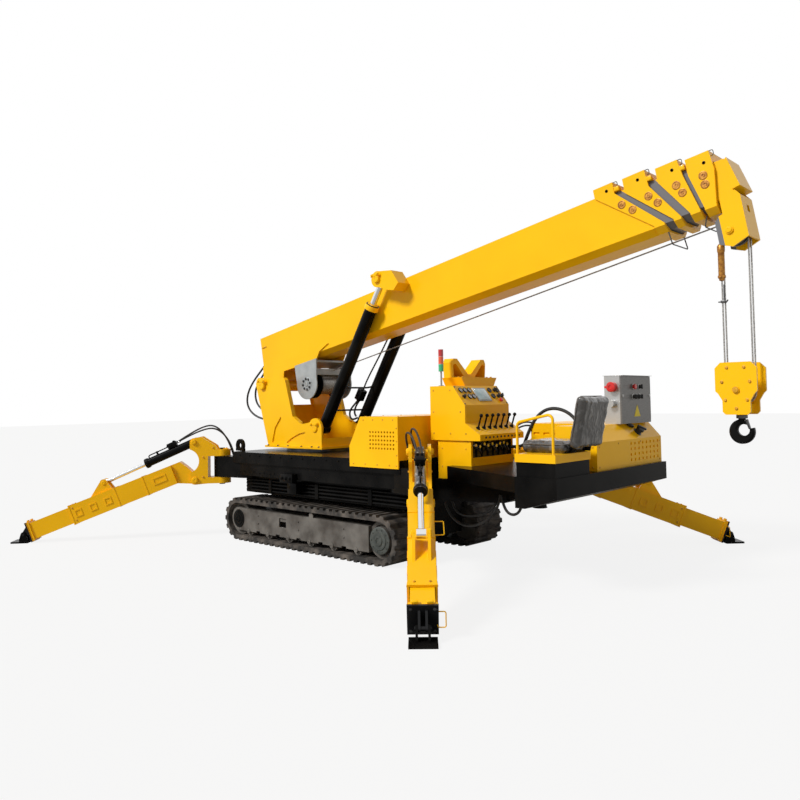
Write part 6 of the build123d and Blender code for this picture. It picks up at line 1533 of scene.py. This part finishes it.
# %% Filler cap and screws of the end cover
facet = slope_frame(Vector((3.085, 0, 1.180)), Vector((2.965, 0, 1.312)))
filler_steps = [
    (0.040, 0), (0.040, 0.006), (0.030, 0.010), (0.030, 0.030), (0.036, 0.034), (0.036, 0.052),
    (0.028, 0.058), (0.010, 0.060),
]
filler = turned("filler", filler_steps, 28)
wing = block("wing", (-0.052, -0.009, 0.052), (0.052, 0.009, 0.072), 0.004)
handle = block("handle", (-0.120, 0.020, 0.004), (-0.050, 0.046, 0.030), 0.006)
filler_cap = unite("filler_cap", [filler, wing, handle])
filler_place = facet @ Matrix.Translation((0.560, 0.070, 0)) @ Matrix.Rotation(-0.5, 4, "Z")
settle(filler_cap, filler_place, moulded_black, "base")
screws = [at(3.085, y, z, "X") for y in (-0.235, 0.905) for z in (0.975, 1.140)]
screws += [at(x, -0.275, z, "-Y") for x in (2.760, 3.045) for z in (0.975, 1.140)]
screws += [at(3.085, y, 1.155, "X") for y in (0.100, 0.520)]
settle(copies(button, "end_cover_buttons", screws), machine, bolt_yellow, "base")
print("end cover screws:", len(screws))

# %% [markdown]
# One fat hose comes out of the console low down and arches to the end cover. It is stiff,
# so it makes one wide bow, and both of its parts are smooth splines that meet at its first bend.

# %% Arch hose
ARCH_RADIUS = 0.016
ARCH_ROUTE = (
    (2.020, 0.275, 1.120), (2.060, 0.290, 1.240), (2.140, 0.310, 1.400), (2.290, 0.335, 1.470),
    (2.450, 0.350, 1.430), (2.560, 0.360, 1.330), (2.600, 0.365, 1.200), (2.620, 0.370, 1.175),
)
STALK_ROUTE = (
    (1.905, 0.200, 1.090), (1.960, 0.235, 1.085), (2.010, 0.262, 1.090), (2.020, 0.275, 1.120),
)
settle(hose("arch_hose", ARCH_ROUTE, ARCH_RADIUS), machine, hose_rubber, "base")
settle(hose("arch_hose_low", STALK_ROUTE, ARCH_RADIUS), machine, hose_rubber, "base")
print("arch hose starts at height", ARCH_ROUTE[0][2])

# %% [markdown]
# Under the platform hang a few hoses and a round horn. They are only seen from low down, so the hoses
# are one piece and the horn is a turned bell on a short stem.

# %% Hoses and horn under the platform
UNDER_HOSES = (
    ((1.560, -0.420, 0.700), (1.600, -0.440, 0.560), (1.720, -0.460, 0.430), (1.900, -0.470, 0.400),
     (2.120, -0.480, 0.470), (2.240, -0.480, 0.600), (2.260, -0.480, 0.720)),
    ((1.620, -0.380, 0.700), (1.650, -0.390, 0.540), (1.760, -0.410, 0.480), (1.960, -0.420, 0.500),
     (2.160, -0.440, 0.560), (2.220, -0.450, 0.700)),
    ((2.300, -0.520, 0.720), (2.330, -0.530, 0.600), (2.420, -0.540, 0.540), (2.520, -0.545, 0.600),
     (2.540, -0.550, 0.720)),
)
under = [hose("under", route, 0.012) for route in UNDER_HOSES]
settle(unite("platform_hoses", under), machine, hose_rubber, "base")
horn_steps = [
    (0.030, 0), (0.040, -0.004), (0.052, -0.020), (0.060, -0.050), (0.064, -0.054),
    (0.060, -0.058), (0.040, -0.046), (0.020, -0.040),
]
horn = turned("horn", horn_steps, 28)
stem = turned("stem", [(0.014, 0.060), (0.014, -0.002)], 12)
horn_place = machine @ Matrix.Translation((2.620, -0.420, 0.690))
settle(unite("platform_horn", [horn, stem]), horn_place, moulded_black, "base")
print("hoses under the platform:", len(UNDER_HOSES))

# %% [markdown]
# Each track frame shows the ends of its roller axles. The front wheel's hub is a broad greenish disc
# with ten bolts, and the rear one, a smaller copy of it in the shade of the belt, is black as painted
# shade.
# Hubs and caps are lathe work, so each is turned once and copied to both sides.

# %% Axle caps and hubs of the tracks
FRAME_FACE, WHEEL_HEIGHT = 0.806, 0.240
FRONT_WHEEL_X, REAR_WHEEL_X = 1.100, -1.160
RING_BOLTS, RING_RADIUS = 10, 0.106
axle_steps = [(0.026, -0.012), (0.026, 0.006), (0.022, 0.010), (0.010, 0.011), (0.008, 0.008)]
axle_cap = pattern(turned("axle_cap", axle_steps, 20))
hub_steps = [
    (0.128, -0.006), (0.128, 0.004), (0.120, 0.008), (0.092, 0.008), (0.086, 0.016),
    (0.050, 0.016), (0.046, 0.024), (0.030, 0.026), (0.028, 0.020),
]
hub = pattern(turned("hub", hub_steps, 40))
hub_paint = start_finish("hub_paint", (0.055, 0.062, 0.055), 0.48)
mottle(hub_paint, (0.035, 0.040, 0.036), (0.085, 0.092, 0.082), 14)
grain(hub_paint, 70, 0.3)
ROLLER_X = [-0.975 + 0.35 * index for index in range(6)]
for side, label, face in ((-1, "near", "-Y"), (1, "far", "Y")):
    caps = [at(x, side * FRAME_FACE, 0.112, face) for x in ROLLER_X]
    settle(copies(axle_cap, "roller_axles_" + label, caps), machine, frame_paint, "base")
    front_place = at(FRONT_WHEEL_X, side * FRAME_FACE, WHEEL_HEIGHT, face)
    settle(copies(hub, "front_hub_" + label, [front_place]), machine, hub_paint, "base")
    # The rear hub's black is painted shade of the belt.
    rear_place = at(REAR_WHEEL_X, side * FRAME_FACE, WHEEL_HEIGHT, face, 0.8)
    settle(copies(hub, "rear_hub_" + label, [rear_place]), machine, black_paint, "base")
    ring = []
    for turn in range(RING_BOLTS):
        angle = 2 * math.pi * turn / RING_BOLTS
        along = FRONT_WHEEL_X + RING_RADIUS * math.cos(angle)
        up = WHEEL_HEIGHT + RING_RADIUS * math.sin(angle)
        ring.append(at(along, side * 0.814, up, face, 0.6))
    settle(copies(hex_bolt, "hub_bolts_" + label, ring), machine, hub_paint, "base")
    guard_bolts = [
        at(x, side * FRAME_FACE, z, face, 0.8) for x in (-0.80, -0.10, 0.60)
        for z in (0.215, 0.300)
    ]
    settle(copies(hex_bolt, "frame_bolts_" + label, guard_bolts), machine, frame_paint, "base")
print("roller axles a side:", len(ROLLER_X))

# %% [markdown]
# The seat still wears the clear wrap that it was delivered in, drawn tight and creased all over,
# and so does one leg's cylinder. Clear film over a dark part shows only where it catches the light.
# So the finish is the dark part with pale streaks, partly the film's haze and partly painted highlight
# where the film catches the light, with a strong clear coat, and ridged noise presses the creases into
# both.


# %% Finishes under a clear wrap
def crease(material, scale, strength, depth):
    """Presses the creases of a tight wrap into a finish and its clear coat."""
    ridges = add_noise(material, scale, 6.0, (1.3, 1, 0.6))
    ridges.noise_type = "RIDGED_MULTIFRACTAL"
    tree = material.node_tree
    press = tree.nodes.new("ShaderNodeBump")
    press.inputs["Strength"].default_value = strength
    press.inputs["Distance"].default_value = depth
    tree.links.new(ridges.outputs["Fac"], press.inputs["Height"])
    for socket in ("Normal", "Coat Normal"):
        tree.links.new(press.outputs["Normal"], tree.nodes["Principled BSDF"].inputs[socket])


seat_wrap = start_finish("seat_wrap", (0.10, 0.095, 0.09), 0.42, coat=0.9)
sheen_and_haze_stretch = (1.3, 1.3, 0.8)
# The pale tone is partly the wrap's haze and partly painted highlight of the film.
mottle(seat_wrap, (0.040, 0.037, 0.034), (0.30, 0.29, 0.275), 13, 0.54, 0.88, stretch=sheen_and_haze_stretch)
crease(seat_wrap, 26, 0.9, 0.006)

wrapped_barrel = start_finish("wrapped_barrel", (0.05, 0.045, 0.045), 0.30, coat=0.8)
sheen_and_haze_stretch = (1.5, 1.5, 0.7)
# The pale tone is partly the wrap's haze and partly painted highlight of the film.
mottle(wrapped_barrel, (0.012, 0.010, 0.010), (0.34, 0.32, 0.31), 24, 0.52, 0.80, stretch=sheen_and_haze_stretch)
crease(wrapped_barrel, 40, 0.8, 0.004)
nodes["leg_barrel_front_near"].data.materials[0] = wrapped_barrel
print("made", seat_wrap.name, wrapped_barrel.name)

# %% [markdown]
# The padding is stuffed by a short cloth simulation with air pressure, so it crowns as foam does.
# Sculpting could do it too, but the pressure rounds every edge by itself, and a cap on how far a
# point may move keeps the pad at its size. The deepest creases are then pressed into the mesh.

# %% Stuff and crease a pad
CREASE_DEPTH = 0.0035
STUFFING_CAP = 0.012
STUFFING_STEPS = 20
VOXEL = 0.006


def stuffed(name, half, corner):
    """A pad round the origin, stuffed by cloth pressure, with the wrap's creases pressed in."""
    bpy.ops.object.select_all(action="DESELECT")
    bpy.ops.mesh.primitive_cube_add(size=1, scale=[2 * length for length in half])
    pad = bpy.context.object
    pad.name = name
    bpy.ops.object.transform_apply()
    round_edges(pad, corner, 5)
    pad.data.remesh_voxel_size = VOXEL
    bpy.ops.object.voxel_remesh()
    rest = [vertex.co.copy() for vertex in pad.data.vertices]
    cloth = pad.modifiers.new("stuffing", "CLOTH")
    cloth.settings.quality = 4
    cloth.settings.mass = 0.3
    cloth.settings.use_pressure = True
    cloth.settings.uniform_pressure_force = 4
    cloth.settings.effector_weights.gravity = 0
    cloth.point_cache.frame_end = STUFFING_STEPS
    for step in range(1, STUFFING_STEPS + 1):
        scene.frame_set(step)
    bpy.ops.object.modifier_apply(modifier="stuffing")
    scene.frame_set(1)
    for vertex, home in zip(pad.data.vertices, rest):
        moved = vertex.co - home
        if moved.length > STUFFING_CAP:
            vertex.co = home + moved.normalized() * STUFFING_CAP
    pad.data.update()
    lifts = [
        noise.ridged_multi_fractal(vertex.co * 9, 0.9, 2.1, 4, 0.9, 1.8)
        for vertex in pad.data.vertices
    ]
    middle = sum(lifts) / len(lifts)
    normals = [vertex.normal.copy() for vertex in pad.data.vertices]
    for vertex, lift, normal in zip(pad.data.vertices, lifts, normals):
        press_in = max(-1.0, min(1.0, lift - middle))
        vertex.co += normal * press_in * CREASE_DEPTH
    smooth = pad.modifiers.new("smooth", "SUBSURF")
    smooth.levels = 1
    bpy.ops.object.modifier_apply(modifier="smooth")
    return pad


print("pads swell by at most", STUFFING_CAP)

# %% [markdown]
# A bead of piping runs round each pad's edge under the wrap. It is a closed loop of round bar,
# made from a rounded rectangle, as a sewn cord would lie.


# %% Piping and cushion
BEAD_RADIUS = 0.005


def piping(name, half_x, half_y, height, corner):
    """A closed bead round a pad, level at one height."""
    bpy.ops.object.select_all(action="DESELECT")
    bpy.ops.mesh.primitive_plane_add(size=1, location=(0, 0, height))
    bead = bpy.context.object
    bead.name = name
    bead.scale = (2 * half_x, 2 * half_y, 1)
    bpy.ops.object.transform_apply()
    bpy.ops.object.mode_set(mode="EDIT")
    bpy.ops.mesh.select_all(action="SELECT")
    bpy.ops.mesh.bevel(affect="VERTICES", offset=corner, segments=8)
    bpy.ops.mesh.delete(type="ONLY_FACE")
    bpy.ops.object.mode_set(mode="OBJECT")
    return give_section(bead, BEAD_RADIUS)


SEAT_Y = -0.606
cushion = stuffed("seat_cushion_pad", (0.203, 0.213, 0.040), 0.034)
cushion_bead = piping("cushion_bead", 0.196, 0.206, 0.022, 0.05)
cushion_place = machine @ Matrix.Translation((2.905, SEAT_Y, 1.1700))
settle(cushion, cushion_place, seat_wrap, "base")
settle(cushion_bead, cushion_place, seat_cover, "base")
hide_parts("seat")
print("cushion made, vertices:", len(cushion.data.vertices))

# %% [markdown]
# The back is a second pad of the same make. It leans back by twelve degrees, so it is made flat
# and then turned upright with a frame whose z comes towards the driver.

# %% Seat back
SEAT_LEAN = math.radians(12)
BACK_PROUD = 0.0425
back = stuffed("seat_back_pad", (0.209, 0.213, 0.034), 0.030)
back_bead = piping("back_bead", 0.197, 0.203, -0.018, 0.05)
back_middle = Vector((3.1660, SEAT_Y, 1.3722))
lean_sin, lean_cos = math.sin(SEAT_LEAN), math.cos(SEAT_LEAN)
back_turn = Matrix(((lean_sin, 0, lean_cos), (0, -1, 0), (lean_cos, 0, -lean_sin))).to_4x4()
back_place = machine @ Matrix.Translation(back_middle) @ back_turn
back_place = back_place @ Matrix.Translation((0, 0, BACK_PROUD))
settle(back, back_place, seat_wrap, "base")
settle(back_bead, back_place, seat_cover, "base")
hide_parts("seat")
print("back made, vertices:", len(back.data.vertices))

# %% [markdown]
# Two bent steel brackets carry the back from the cushion's pan. They are flat plates on edge,
# so both are cut to the same outline.

# %% Seat brackets
BRACKET_CORNERS = [
    (-0.055, -0.030), (0.030, -0.030), (0.060, 0.110), (0.030, 0.110), (-0.010, 0.010),
    (-0.055, 0.006),
]
brackets = []
for y in (-0.720, -0.490):
    bracket = plate("seat_bracket", BRACKET_CORNERS, 0.008)
    bracket.data.transform(Matrix.Translation((3.115, y, 1.160)))
    brackets.append(bracket)
settle(unite("seat_brackets", brackets), machine, black_paint, "base")
print("seat brackets:", len(brackets))

# %% [markdown]
# The patterns have been copied wherever they are needed, so they leave the scene. Left in, each
# would count as a piece of the machine that rides on nothing.

# %% Take the patterns away
for piece in patterns:
    bpy.data.objects.remove(piece)
